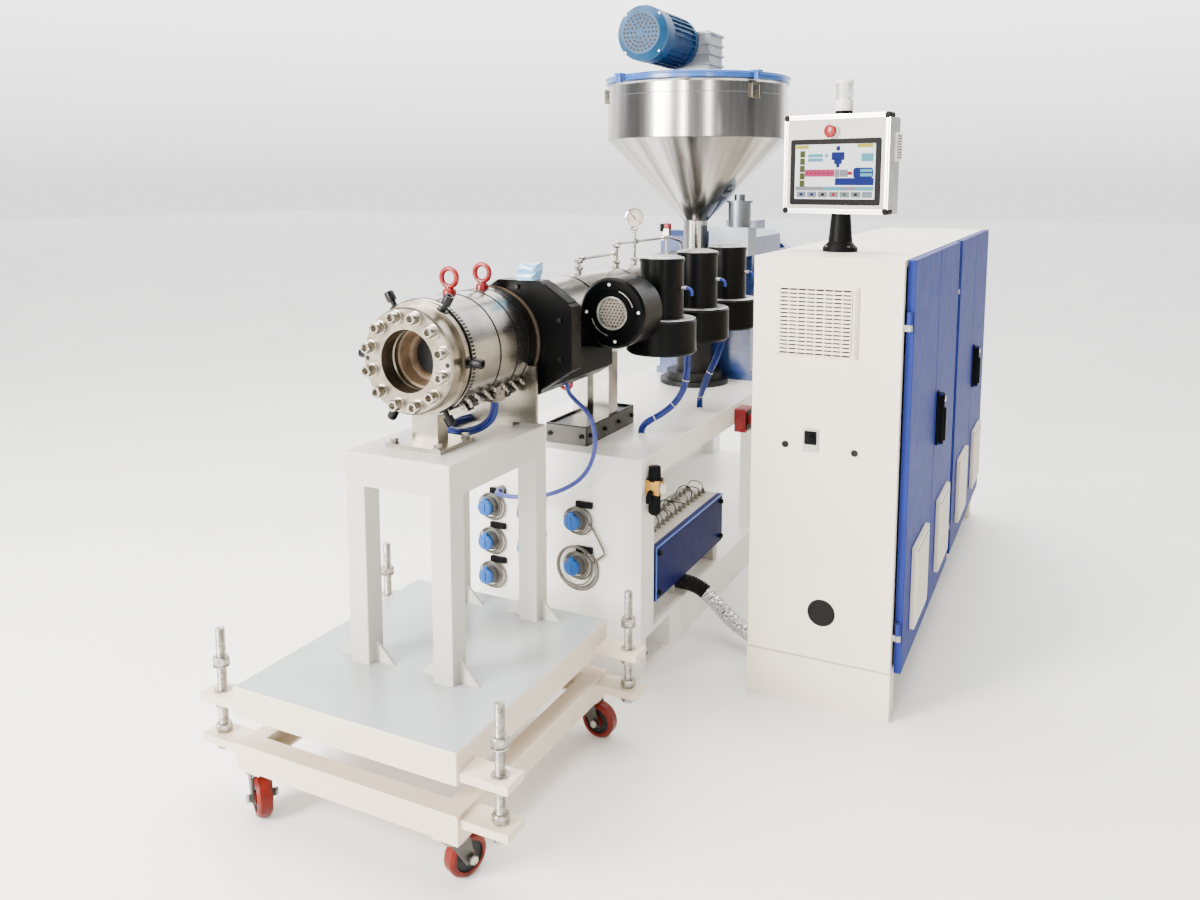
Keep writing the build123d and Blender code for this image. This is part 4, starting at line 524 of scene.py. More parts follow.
def turned_steel(name, colour, shade):
    """Steel faced on a lathe: fine rings round the barrel's axis, with oil and heat tints between them."""
    tree, shader, place = new_finish(name, Metallic=1)
    mottle(tree, shader, place, (colour, shade), 38, 0.85, 6)
    centred = add(tree, "Mapping", {"Vector": place, "Location": (0, 0, -AXIS * MM), "Scale": (1, 0, 1)})
    radius = add(tree, "VectorMath", {0: centred["Vector"]}, operation="LENGTH")
    split = add(tree, "SeparateXYZ", {"Vector": place})
    way = add(tree, "Math", {0: radius["Value"], 1: split["Y"]}, operation="ADD")
    rings = add(tree, "TexNoise", {"W": way["Value"], "Scale": per_metre(1.3), "Detail": 3},
                noise_dimensions="1D")["Fac"]
    dress(tree, shader, height=rings, depth=0.05, rough=rings, span=(0.22, 0.42))


def hopper_steel(name, colour, shade):
    """Polished stainless rolled to a cone: streaks run down it, so reflections pull out into bars; the colour
    is also painted bright and dark along the streaks, a painted reflection.
    """
    tree, shader, place = new_finish(name, Metallic=1)
    centred = add(tree, "Mapping", {"Vector": place, "Location": (0, -THROAT_Y * MM, 0)})
    angle = add(tree, "TexGradient", {"Vector": centred["Vector"]}, gradient_type="RADIAL")
    split = add(tree, "SeparateXYZ", {"Vector": place})
    around = add(tree, "CombineXYZ", {"X": angle["Fac"], "Y": split["Z"]})["Vector"]
    lay = add(tree, "Mapping", {"Vector": around, "Scale": (26, 0.5, 1)})
    streaks_and_painted_bars = add(tree, "TexNoise", {"Vector": lay["Vector"], "Scale": 1, "Detail": 5})["Fac"]
    # The streaks set the gloss, which is real, and also paint the colour in bright and dark bars, which is
    # painted reflection.
    span = add(tree, "MapRange", {"Value": streaks_and_painted_bars, "From Min": 0.4, "From Max": 0.66})
    fine = add(tree, "Mapping", {"Vector": around, "Scale": (900, 6, 1)})
    lines = add(tree, "TexNoise", {"Vector": fine["Vector"], "Scale": 1, "Detail": 3})
    dress(tree, shader, span["Result"], (colour, shade), lines["Fac"], 0.03, rough=streaks_and_painted_bars,
          span=(0.1, 0.28))


def zinc_plate(name, colour, shade, spangle=9):
    """Galvanised steel: dull grey crystals that each catch the light a little differently."""
    tree, shader, place = new_finish(name, Metallic=1)
    cells = add(tree, "TexVoronoi", {"Vector": place, "Scale": per_metre(spangle)})
    tone = add(tree, "SeparateColor", {"Color": cells["Color"]})
    grit = add(tree, "TexNoise", {"Vector": place, "Scale": per_metre(3), "Detail": 4})
    dress(tree, shader, tone["Red"], (colour, shade), grit["Fac"], 0.1, rough=tone["Green"],
          span=(0.32, 0.52))


def crumpled_foil(name, colour, shade):
    """Aluminium foil over a wire spiral: mirror-bright facets between sharp creases."""
    tree, shader, place = new_finish(name, Metallic=1)
    mottle(tree, shader, place, (colour, shade), 14, 0.7)
    creases = add(tree, "TexVoronoi", {"Vector": place, "Scale": per_metre(13)}, distance="CHEBYCHEV")
    dress(tree, shader, height=creases["Distance"], depth=3.2, strength=0.9, rough=creases["Color"],
          span=(0.12, 0.34))


def cast_iron(name, colour, shade):
    """Sand-cast iron, oiled: dark, with a grainy skin that breaks up the light."""
    tree, shader, place = new_finish(name, Metallic=0.2, Specular_IOR_Level=0.3)
    mottle(tree, shader, place, (colour, shade), 30, 0.8, 5)
    sand = add(tree, "TexNoise", {"Vector": place, "Scale": per_metre(4), "Detail": 6})["Fac"]
    dress(tree, shader, height=sand, depth=0.35, strength=0.6, rough=sand, span=(0.38, 0.62))


def clear_lamp(name, colour, shade):
    """Clear polycarbonate lens: see-through, with moulded prisms that blur what is behind them."""
    tree, shader, place = new_finish(name, IOR=1.58, Transmission_Weight=0.75, Roughness=0.12)
    lines = add(tree, "TexWave", {"Vector": place, "Scale": per_metre(24)}, bands_direction="Z")["Fac"]
    dress(tree, shader, lines, (colour, shade), lines, 0.6)


def lit_display(name, colour, glow):
    """Backlit display behind glass: even colour that shines by itself, with the pixel rows just felt."""
    tree, shader, place = new_finish(name, Specular_IOR_Level=0.02, Roughness=0.4, Emission_Strength=glow,
                                     Emission_Color=linear(colour))
    rows = add(tree, "TexWave", {"Vector": place, "Scale": per_metre(16)}, bands_direction="Z")
    share = add(tree, "MapRange", {"Value": rows["Fac"], "To Min": 0.8, "To Max": 0.9})
    dress(tree, shader, share["Result"], (colour, "#101418"))


NODE_FINISHES = {"cream_powder_coat": ("trolley_side_beams", "trolley_end_beams"),
                 "table_powder_coat": ("table_legs", "table_top"),
                 "white_powder_coat": ("base_sole", "base_posts", "base_rails", "base_top_plate",
                                       "base_panels"), "tray_powder_coat": ("platform",),
                 "cabinet_powder_coat": ("cabinet_uprights", "cabinet_roof_and_floor", "cabinet_left_panel",
                                         "cabinet_feet"),
                 "door_powder_coat": ("cabinet_door_1", "cabinet_door_2", "cabinet_door_3", "cabinet_door_4"),
                 "black_enamel": ("front_hood", "blowers"), "turned_tool_steel": ("die_body", "die_flange"),
                 "ground_plate_steel": ("die_supports",), "rolled_band_stainless": ("heater_bands", "barrel"),
                 "polished_column_stainless": ("barrel_column",),
                 "rolled_hopper_stainless": ("hopper_shell",), "satin_duct_stainless": ("side_vent",),
                 "drawn_pipe_stainless": ("oil_pipes",), "oiled_cast_iron": ("slide_base", "feed_block"),
                 "zinc_plated_steel": ("jack_screws", "door_hinges"), "red_enamel": ("eye_bolts",),
                 "box_red_enamel": ("stop_switch",), "lid_enamel": ("hopper_lid",),
                 "motor_enamel": ("agitator_motor",), "cast_aluminium": ("agitator_gearbox",),
                 "drive_enamel": ("main_gearbox", "main_motor"), "socket_nylon": ("control_sockets",),
                 "grey_box_paint": ("junction_box",), "navy_cover_paint": ("junction_cover",),
                 "cast_brass": ("air_regulator",), "anodised_aluminium": ("panel_box",),
                 "black_moulding": ("panel_post",), "clear_polycarbonate": ("beacon",),
                 "polyurethane_tread": tuple("caster_wheel_" + corner for corner in CASTERS),
                 "scraped_plate_steel": tuple("caster_fork_" + corner for corner in CASTERS), }


class EXTRUDER_OT_finishes(bpy.types.Operator):
    """Makes the finishes and gives each CAD node its own"""
    bl_idname = "extruder.finishes"
    bl_label = "Finishes"

    def execute(self, context):
        paint = context.scene.extruder_colours
        # Satin paints: broad soft highlights on the frames, low ones where a dark colour has to stay deep.
        powder_coat("cream_powder_coat", paint.cream, "#CABBA6")
        powder_coat("table_powder_coat", "#C6C2BB", "#B7B2AA")
        powder_coat("white_powder_coat", "#F7F5F1", "#E9E6E0", 0.24, 0.36)
        topped_coat("tray_powder_coat", paint.cream, "#ACB3B5", "#929A9D", TRAY_TOP)
        powder_coat("cabinet_powder_coat", paint.cabinet, "#DFD5C1", 0.42, 0.56, 1.8)
        powder_coat("door_powder_coat", paint.doors, "#1F2A68", 0.44, 0.58, 1.8, 0.06)
        powder_coat("grey_box_paint", "#B9B7AF", "#9A988F")
        powder_coat("navy_cover_paint", "#121A55", "#0C123E", 0.34, 0.48, 2.2, 0.06)
        powder_coat("blue_edge_paint", "#3B6FD0", "#2C57AE", 0.24, 0.36)
        powder_coat("panel_face_paint", "#B7ADA3", "#A3988E", 0.3, 0.42, 1.2, 0.4)
        # Gloss paints: small sharp highlights on castings and small parts.
        enamel("black_enamel", paint.black, "#030404", 0.24, 0.36, 6, 0.07)
        enamel("red_enamel", paint.eyes, "#5E060B", shine=0.35)
        enamel("box_red_enamel", "#8A161C", "#5A0D12", 0.2, 0.36, shine=0.3)
        enamel("lid_enamel", paint.lid, "#214A8C")
        enamel("motor_enamel", paint.motor, "#122F4A", 0.34, 0.5, shine=0.1)
        enamel("drive_enamel", "#24407F", "#152750")
        enamel("film_blue_enamel", "#8CC4E6", "#5A9CCB", 0.12, 0.22)
        # Plastics, rubber, board and ceramic: dull, without any metal glint.
        moulded("black_moulding", "#0B0C0E", "#060708", 0.34, 0.5, shine=0.07)
        moulded("black_rubber", "#0A0A0A", "#121212", 0.5, 0.7, shine=0.2)
        moulded("white_moulding", "#E8E6E0", "#CFCCC4")
        moulded("grey_cable_sheath", "#6B675E", "#3F3C36", 0.3, 0.45)
        moulded("socket_nylon", "#6E6F70", "#4A4B4D")
        moulded("socket_flap_nylon", paint.sockets, "#0B3F7E", 0.22, 0.36, shine=0.35)
        moulded("lead_sleeve", paint.leads, "#16255F", 0.28, 0.42, shine=0.3)
        moulded("pale_lead_sleeve", "#39458F", "#2C3778", 0.24, 0.36, shine=0.35)
        moulded("polyurethane_tread", paint.treads, "#2A0A06", 0.3, 0.46, 2, 0.25)
        moulded("dial_enamel", "#CFC3B4", "#B9AC9C", 0.25, 0.35)
        moulded("insulation_board", "#54493A", "#3A3226", 0.7, 0.9, shine=0.2)
        moulded("steatite", "#6E675B", "#3F3A33", 0.3, 0.45)
        # Bare metals: bright streaks along the lay of the tool, from mirror-like chrome to dull castings.
        turned_steel("turned_tool_steel", "#989083", "#5C5546")
        brushed_steel("ground_plate_steel", "#989489", "#67635A", (1, 0.08, 1))
        brushed_steel("scraped_plate_steel", "#5C5B57", "#383734", (1, 0.3, 1), 0.4, 0.6, 6, 0.1)
        brushed_steel("rolled_band_stainless", "#94928D", "#4C4A46", (1, 0.05, 1), 0.15, 0.28, 3, 0.012)
        brushed_steel("polished_column_stainless", "#AFACA4", "#55524B", (1, 1, 0.06), 0.1, 0.24)
        brushed_steel("satin_duct_stainless", "#7F868F", "#62686F", (1, 1, 0.1), 0.3, 0.44)
        brushed_steel("drawn_pipe_stainless", "#CFCEC9", "#9E9C95", (1, 0.05, 1), 0.14, 0.28)
        brushed_steel("nickel_bolt_steel", "#B3ADA2", "#6F695C", low=0.18, high=0.34, line=3)
        brushed_steel("black_oxide_steel", "#2B2B2C", "#161617", low=0.3, high=0.46, line=3)
        brushed_steel("chromed_brass", "#E2E2E2", "#B9BABB", low=0.05, high=0.12, line=4, depth=0.01)
        brushed_steel("cast_brass", "#C79A4B", "#8E6A2C", low=0.24, high=0.4, line=4)
        brushed_steel("anodised_aluminium", "#D9D6D0", "#B8B5AF", (1, 1, 0.1), 0.24, 0.36)
        brushed_steel("cast_aluminium", "#A7AAAE", "#777B80", low=0.36, high=0.52, line=5, depth=0.2)
        hopper_steel("rolled_hopper_stainless", "#D9D8D6", "#7F7C78")
        zinc_plate("zinc_plated_steel", "#BDBBB4", "#8F8D86")
        zinc_plate("lid_zinc", "#C9CBCC", "#9FA1A2", 16)
        crumpled_foil("crumpled_foil", "#D8D9DA", "#A2A4A6")
        # Dark and burnt skins that swallow the light in hollows.
        cast_iron("scorched_steel", "#7A6650", "#3E3022")
        cast_iron("oiled_cast_iron", "#1D1E1F", "#0E0F0F")
        cast_iron("shadow_black", "#08080A", "#0C0C0E")
        clear_lamp("clear_polycarbonate", "#F4F5F4", "#E9EBEA")
        for name, colour in DISPLAY_COLOURS.items():
            lit_display("display_" + name, colour, 1.8 if name == "white" else 0.6)
        for finish, nodes in NODE_FINISHES.items():
            for node in nodes:
                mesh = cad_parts[node].data
                mesh.materials.clear()
                mesh.materials.append(bpy.data.materials[finish])
        return {"FINISHED"}


class EXTRUDER_OT_leads(bpy.types.Operator):
    """Sleeved leads of the hood, blowers and die heaters, and the foil conduit to the cabinet"""
    bl_idname = "extruder.leads"
    bl_label = "Leads and conduit"

    def execute(self, context):
        path = spline_points("hood_lead_route", HOOD_LEAD, 40)
        ribs = np.cos(FULL_TURN * run_length(path) * MM / context.scene.extruder_sizes.rib_pitch)
        sleeve = tube(path, 7 * (1 + 0.02 * ribs), (0.1, 0.98, 0.17), 16)
        piece = make_piece("hood_lead_sleeve", "cable_blue", (sleeve, "pale_lead_sleeve"))
        declare_lead(piece, "hood_lead", path, 14, "medium")
        for node, route, ties in (("blower_lead_1", BLOWER_LEAD_1, (0.28, 0.5, 0.72)),
                                  ("blower_lead_2", BLOWER_LEAD_2, (0.4, 0.7))):
            path = spline_points(node + "_route", route, 16)
            piece = make_piece(node + "_bundle", "cable_blue",
                               (strands(path, 3, 7, 5.4, 0.005), "lead_sleeve"),
                               (join(*[tie(path, share) for share in ties]), "white_moulding"))
            declare_lead(piece, node, path, 18, "medium")
        path = spline_points("heater_lead_route", HEATER_LEAD, 16)
        piece = make_piece("heater_lead_bundle", "cable_blue",
                           (strands(path, 5, 7, 4.4, 0.012), "lead_sleeve"))
        declare_lead(piece, "heater_lead", path, 16, "limp")
        # The foil's radius is a wire spiral's cosine plus three waves that run round and along it.
        path = spline_points("foil_conduit_route", CONDUIT, 40)
        v, s = evenly(40)[None, :], run_length(path)[:, None]
        folds = 0.035 * np.cos(FULL_TURN * s / 11 + v) + 0.03 * np.sin(5 * v + 0.31 * s)
        folds += 0.025 * np.sin(9 * v - 0.53 * s) * np.cos(0.17 * s) + 0.02 * np.sin(3 * v + 0.9 * s)
        booted, up = s[:, 0] < BOOT_LENGTH, (0.05, 0.25, 0.97)
        skin = tube(path, np.where(booted[:, None], 22, 26.5 * (0.97 + folds)), up, 40)
        boot = tube(path[booted], 26 + 1.6 * np.cos(FULL_TURN * s[booted, 0] / 9), up, 40)
        piece = make_piece("foil_conduit_skin", "foil_silver", (skin, "crumpled_foil"))
        cuff = make_piece("foil_conduit_boot", "black_plastic", (boot, "black_rubber"))
        declare_lead(piece, "foil_conduit", path, 50, "medium", "loose", with_pieces=[cuff])
        return {"FINISHED"}


class EXTRUDER_OT_die_fittings(bpy.types.Operator):
    """Bolts, bore lining, band straps, heater terminals and lifting eyes of the die head"""
    bl_idname = "extruder.die_fittings"
    bl_label = "Die head fittings"

    def execute(self, context):
        sizes = context.scene.extruder_sizes
        face = np.array([0, DIE_FRONT, AXIS])
        seat = face + (BOLT_CIRCLE, 0, 0)
        angles = math.pi / sizes.flange_bolts + evenly(sizes.flange_bolts)
        bolt = join(socket_head(sizes.bolt_head / MM, 26, seat, FRONT),
                    lathe([(0, 0), (17, 0), (17, 1.6), (15.5, 2), (0, 2)], seat, FRONT, 32))
        holes = shifted(disc(6.2, 6.3, face, FRONT, 24, -6), [(122, 0, 0), (-122, 0, 0)])
        make_piece("flange_bolts", "machined_steel", (turned(bolt, angles, face), "nickel_bolt_steel"),
                   (holes, "shadow_black"))
        ring = lathe([(BORE, -46), (77, -49), (77, -58), (BORE, -60)], face, FRONT, 96)
        cone = lathe([(BORE, -66), (74, -69), (71, -84), (66, -95)], face, FRONT, 96)
        crust = lathe([(66.4, -94.5), (62, -93), (55, -96), (51, -102), (50, -109.4)], face, FRONT, 96)
        hole = lathe([(51, -109), (0, -109)], face, FRONT, 64)
        make_piece("bore_lining", "machined_steel", (ring, "turned_tool_steel"),
                   (join(cone, crust), "scorched_steel"), (hole, "shadow_black"))
        collar = face + (0, 53.5, 0)
        centring = join(disc(7, 22, collar + (145, 0, 0), RIGHT, 24),
                        socket_head(25, 25, collar + (164, 0, 0), RIGHT),
                        lathe([(0, 0), (16, 0), (14, 3), (0, 3)], collar + (145.2, 0, 0), RIGHT, 32))
        make_piece("centring_bolts", "black_paint",
                   (turned(centring, evenly(6), collar), "black_oxide_steel"))
        straps, slots, seams = [], [], []
        for offset, width, teeth, layer in ((75, 15, 96, straps), (198, 3.4, 110, slots),
                                            (285, 3.4, 110, slots), (341, 3.4, 110, slots)):
            at = face + (0, offset, 0)
            layer.append(hoop(BAND, 151.2, -width / 2, width / 2, at, FRONT, 160))
            tooth = slab(width * 0.84, 6.2, 0.7, at + (151, 0, 0), RIGHT, 0.8, 0.2, 3)
            slots.append(turned(tooth, evenly(teeth), at))
        for offset, angle in ((240, 62), (313, 60), (130, 118), (313, 120)):
            at = face + (0, offset, 0)
            seams.append(turned(slab(11, 30, 1.2, at + (149.5, 0, 0), RIGHT, 5, 0.4), np.radians([angle]),
                                at))
        make_piece("band_straps", "stainless", (join(*straps), "rolled_band_stainless"),
                   (join(*slots), "black_oxide_steel"), (join(*seams), "ground_plate_steel"))
        posts, beads, lugs = [], [], []
        for index, offset in enumerate(range(84, 390, 22)):
            at = face + (0, offset, 0)
            tilt = np.radians([-36, -45] if index % 2 else [-40, -49])
            post = join(socket_head(9, 7, at + (162, 0, 0), RIGHT, 36),
                        disc(3, 16, at + (149, 0, 0), RIGHT, 16))
            bead = lathe([(0, 0), (5.2, 0), (5.6, 3), (5.2, 6), (0, 6)], at + (151, 0, 0), RIGHT, 20)
            posts.append(turned(post, tilt, at))
            beads.append(turned(bead, tilt, at))
            lugs.append(turned(slab(15, 8, 3, at + (BAND, 0, 0), RIGHT, 2, 0.8), tilt - 0.1, at))
        make_piece("heater_terminals", "stainless", (join(*posts), "nickel_bolt_steel"),
                   (join(*beads), "steatite"), (join(*lugs), "black_oxide_steel"))
        ring = hoop(149.7, 153, 0, 10, (0, HOOD_FRONT - 0.5, AXIS), FRONT, 128)
        make_piece("insulation_ring", "stainless", (ring, "insulation_board"))
        neck = lathe([(0, 0), (18, 0), (18, 10), (16, 14), (10.5, 17.5), (9, 22), (0, 22)], turns=40)
        eyes = [shifted(join(neck, torus(23.5, 7, (0, 0, 45), FRONT)),
                        [(0, DIE_FRONT + offset, AXIS + 148.5)]) for offset in (187, 344)]
        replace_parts(make_piece("lifting_eyes", "red_paint", (join(*eyes), "red_enamel")), "eye_bolts")
        # A near-black plate over the saddle's front is painted shadow, where the die's shade falls under it;
        # it is not a separate part.
        dark = slab(312, 60, 1.2, (0, -1521.9, 935), FRONT, 3, 0.5)
        make_piece("saddle_shadow_plate", "black_paint", (dark, "black_oxide_steel"))
        feet = [(x, y, 902) for x in (-68, 68) for y in (-1856, -1734)] + [(x, -1503, 902) for x in (-72, 72)]
        screws = shifted(join(hex_nut(18, 10, (0, 0, 2)), disc(13, 2.2)), feet)
        make_piece("support_screws", "zinc_steel", (screws, "zinc_plated_steel"))
        return {"FINISHED"}


class EXTRUDER_OT_jack_screws(bpy.types.Operator):
    """Threaded jack screws with their nuts: a rod whose radius falls by a triangle wave along a helix"""
    bl_idname = "extruder.jack_screws"
    bl_label = "Jack screws"

    def execute(self, context):
        pitch = context.scene.extruder_sizes.thread_pitch / MM
        u, h = evenly(24)[None, :], np.linspace(JACK_FOOT, JACK_TOP, 424)[:, None]
        depth = np.abs(2 * ((h / pitch - u / FULL_TURN) % 1) - 1)
        ease = np.clip((JACK_TOP - h) / 3, 0, 1) * 1.6 - 1.6
        radius = 12 - 1.3 * depth + ease
        rod = loft(np.stack(np.broadcast_arrays(radius * np.cos(u), radius * np.sin(u), h), axis=-1))
        nuts = [hex_nut(36, 22, (0, 0, z), bore=21) for z in (JACK_FOOT, 172, 240, 350)]
        washers = [hoop(11, 21, 0, 2.5, (0, 0, z), turns=40) for z in (282, 347.5)]
        screws = shifted(join(rod, *nuts, *washers), JACKS)
        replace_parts(make_piece("threaded_jacks", "zinc_steel", (screws, "zinc_plated_steel")), "jack_screws")
        return {"FINISHED"}


class EXTRUDER_OT_blower_fittings(bpy.types.Operator):
    """Intake mesh, rims, screws, lids and tube clips of the blowers, and the fittings of the hood"""
    bl_idname = "extruder.blower_fittings"
    bl_label = "Blower and hood fittings"

    def execute(self, context):
        rows = np.arange(-4, 5) * context.scene.extruder_sizes.mesh_pitch / MM
        wires = []
        for turn in np.radians([30, 90, 150]):
            across, along = np.array([np.cos(turn), np.sin(turn)]), np.array([-np.sin(turn), np.cos(turn)])
            for row, reach in zip(rows, np.sqrt(np.maximum(43 ** 2 - rows ** 2, 1))):
                ends = row * across + np.linspace(-reach, reach, 3)[:, None] * along
                wires.append(tube(placed(np.column_stack([ends, np.full(3, -6)]), INTAKE, FRONT), 0.9,
                                  ALONG_Y, 6))
        make_piece("intake_mesh", "black_paint", (join(*wires), "chromed_brass"),
                   (disc(43.6, 1, INTAKE, FRONT, 48, -12), "dial_enamel"))
        bead = lathe([(43.5, -5), (48, -5), (49.5, 1), (47.5, 3.2), (45, 3.2), (43.5, 1)], INTAKE, FRONT, 64,
                     True)
        knurl = shifted(lathe([(0, 0), (2.2, 0), (1.6, 1.4), (0, 1.8)], ORIGIN, FRONT, 8),
                        round_places(46.4, evenly(44), INTAKE + (0, -3, 0)))
        rim = lathe([(72, -5), (75, -5), (74.6, -2), (72.4, -2)], INTAKE, FRONT, 96, True)
        make_piece("intake_rim", "black_paint", (join(bead, knurl), "zinc_plated_steel"),
                   (rim, "black_enamel"))
        screws = shifted(lathe([(0, 0), (5, 0), (4.4, 2.4), (2.6, 3.4), (0, 3.6)], ORIGIN, FRONT, 20),
                         round_places(84, np.radians([4, 97, 180, 276]), INTAKE + (0, 5, 0)))
        arcs = [tube(round_places(68, np.radians(np.linspace(*ends, 24)), INTAKE + (0, 4, 0)), 1.8, ALONG_Y,
                     8) for ends in ((18, 72), (196, 258))]
        make_piece("intake_screws", "zinc_steel", (screws, "white_moulding"),
                   (join(*arcs), "zinc_plated_steel"))
        lid = lathe([(0, 8.5), (26, 8), (50, 6), (64, 3), (69, 1.2), (70, -0.5), (66, -0.5)], turns=64)
        dots = [round_places(r, evenly(n), (0, 0, z), UPWARD)
                for r, n, z in ((16, 7, 8.2), (32, 14, 7.4), (47, 20, 6.2))]
        dents = shifted(lathe([(0, 0), (2.6, 0), (1.8, 1), (0, 1.2)], turns=8), np.concatenate(dots))
        make_piece("blower_lids", "zinc_steel", (shifted(lid, BLOWERS), "lid_zinc"),
                   (shifted(dents, BLOWERS), "zinc_plated_steel"))
        # A pale zinc ring on each scroll's top is a painted highlight, standing in for the bright reflection
        # there; it is no lid.
        painted_highlight_ring = lathe([(73, 0.6), (74, 2), (104, 2), (107, 0.4)], (0, 0, -190), turns=96)
        make_piece("scroll_highlight_rings", "zinc_steel", (shifted(painted_highlight_ring, BLOWERS), "lid_zinc"))
        u = np.linspace(0, math.pi * 0.62, 14)
        bend = np.column_stack([84 + 17 * np.sin(u), 0 * u, 17 * np.cos(u) - 17 - 92])
        elbow = tube(np.concatenate([[(76, 0, -92)], bend]), 5, ALONG_Y, 12)
        clip = slab(16, 11, 16, (67, 0, -92), RIGHT, 3, 1.2)
        make_piece("blower_tube_clips", "zinc_steel", (shifted(clip, BLOWERS), "zinc_plated_steel"),
                   (shifted(elbow, BLOWERS), "lead_sleeve"))
        seams = join(*[hoop(109, 111.6, 0, 3, (0, 0, -offset)) for offset in (198, 292)])
        make_piece("scroll_seams", "black_paint", (shifted(seams, BLOWERS), "black_enamel"))
        slope = np.array([[0, 1, 0], [-0.833, 0, 0.553], [0.553, 0, 0.833]])
        chamfer = np.array([200.5, HOOD_FRONT + 27.5, 1260.5])
        plate = slab(50, 92, 3, chamfer, slope, 5, 1)
        slot = slab(9, 30, 0.8, chamfer + 2.9 * slope[2], slope, 4.4, 0.3)
        # The film is a rounded outline, swollen by two waves that turn as they rise.
        outline = rounded_outline(58, 52, 10, 10)
        x, y = outline.T
        a, h = np.arctan2(y, x), np.linspace(0, 1, 40)[:, None]
        wrap = 1 + 0.05 * np.sin(5 * a + 9 * h) + 0.04 * np.sin(9 * a - 14 * h) + 0.16 * (h - 0.5) ** 2
        rings = np.stack([wrap * x + 8 * h, wrap * y, 46 * h + 3.5 * h * np.sin(2 * a + 0.6)], axis=-1)
        film = loft(rings + (100, HOOD_FRONT + 28, 1293.8))
        spots = ((-128, 1150), (-128, 1050), (215, 1190), (215, 1080), (80, 1276), (150, 985))
        bolts = shifted(hex_nut(13, 7, (0, HOOD_FRONT, 0), FRONT), [(x, 0, z) for x, z in spots])
        make_piece("hood_fittings", "black_paint", (plate, "black_moulding"), (slot, "shadow_black"),
                   (film, "film_blue_enamel"), (bolts, "black_oxide_steel"))
        return {"FINISHED"}


class EXTRUDER_OT_pipe_fittings(bpy.types.Operator):
    """Dial, compression nuts and valve handle of the oil pipes"""
    bl_idname = "extruder.pipe_fittings"
    bl_label = "Gauge and pipe fittings"

    def execute(self, context):
        facing, at = upright(GAUGE_TURN), np.array([0, -525, 1436])
        case = lathe([(0, -16), (29, -16), (32.2, -13), (32.2, 15), (33.4, 15.5), (33.4, 18), (31, 19),
                      (29, 16.6), (29, 15.4), (0, 15.4)], at, facing, 64)
        dial = lathe([(28.8, 15.3), (28.8, 15.8), (0, 15.8)], at, facing, 48)
        tick = slab(1.6, 6, 0.4, at + (0, 23, 15.7) @ facing, facing, 0.4, 0.1, 3)
        ticks = turned(tick, np.radians(np.linspace(-135, 135, 19)), at, facing)
        # The hub has no lower pole: welded to the dial's it would shade the dial dark.
        needle = join(slab(2.6, 32, 0.5, at + (0, 6, 16.4) @ facing, facing, 0.8, 0.2, 3),
                      lathe([(3, 15.6), (2.4, 17.2), (0, 17.4)], at, facing, 20))
        make_piece("pressure_gauge", "stainless", (case, "chromed_brass"), (dial, "dial_enamel"),
                   (ticks, "black_moulding"),
                   (turned(needle, np.radians([42]), at, facing), "black_moulding"))
        upright_at = ((-965, 1277), (-678, 1277), (-525, 1277), (-217, 1277), (-678, 1334), (-525, 1388),
                      (-965, 1300))
        level_at = ((-930, 1314), (-700, 1314), (-655, 1348), (-500, 1348), (-250, 1348))
        nuts = [hex_nut(24, 13, (0, *at)) for at in upright_at]
        nuts += [hex_nut(18, 13, (0, *at), FRONT) for at in level_at]
        make_piece("compression_nuts", "stainless", (join(*nuts), "drawn_pipe_stainless"))
        knob = slab(28, 26, 24, (2, -217, 1380), UPWARD, 6, 3)
        cap = slab(16, 30, 30, (-16, -217, 1372), UPWARD, 3, 1.5)
        make_piece("valve_handle", "red_paint", (knob, "red_enamel"), (cap, "black_moulding"))
        return {"FINISHED"}


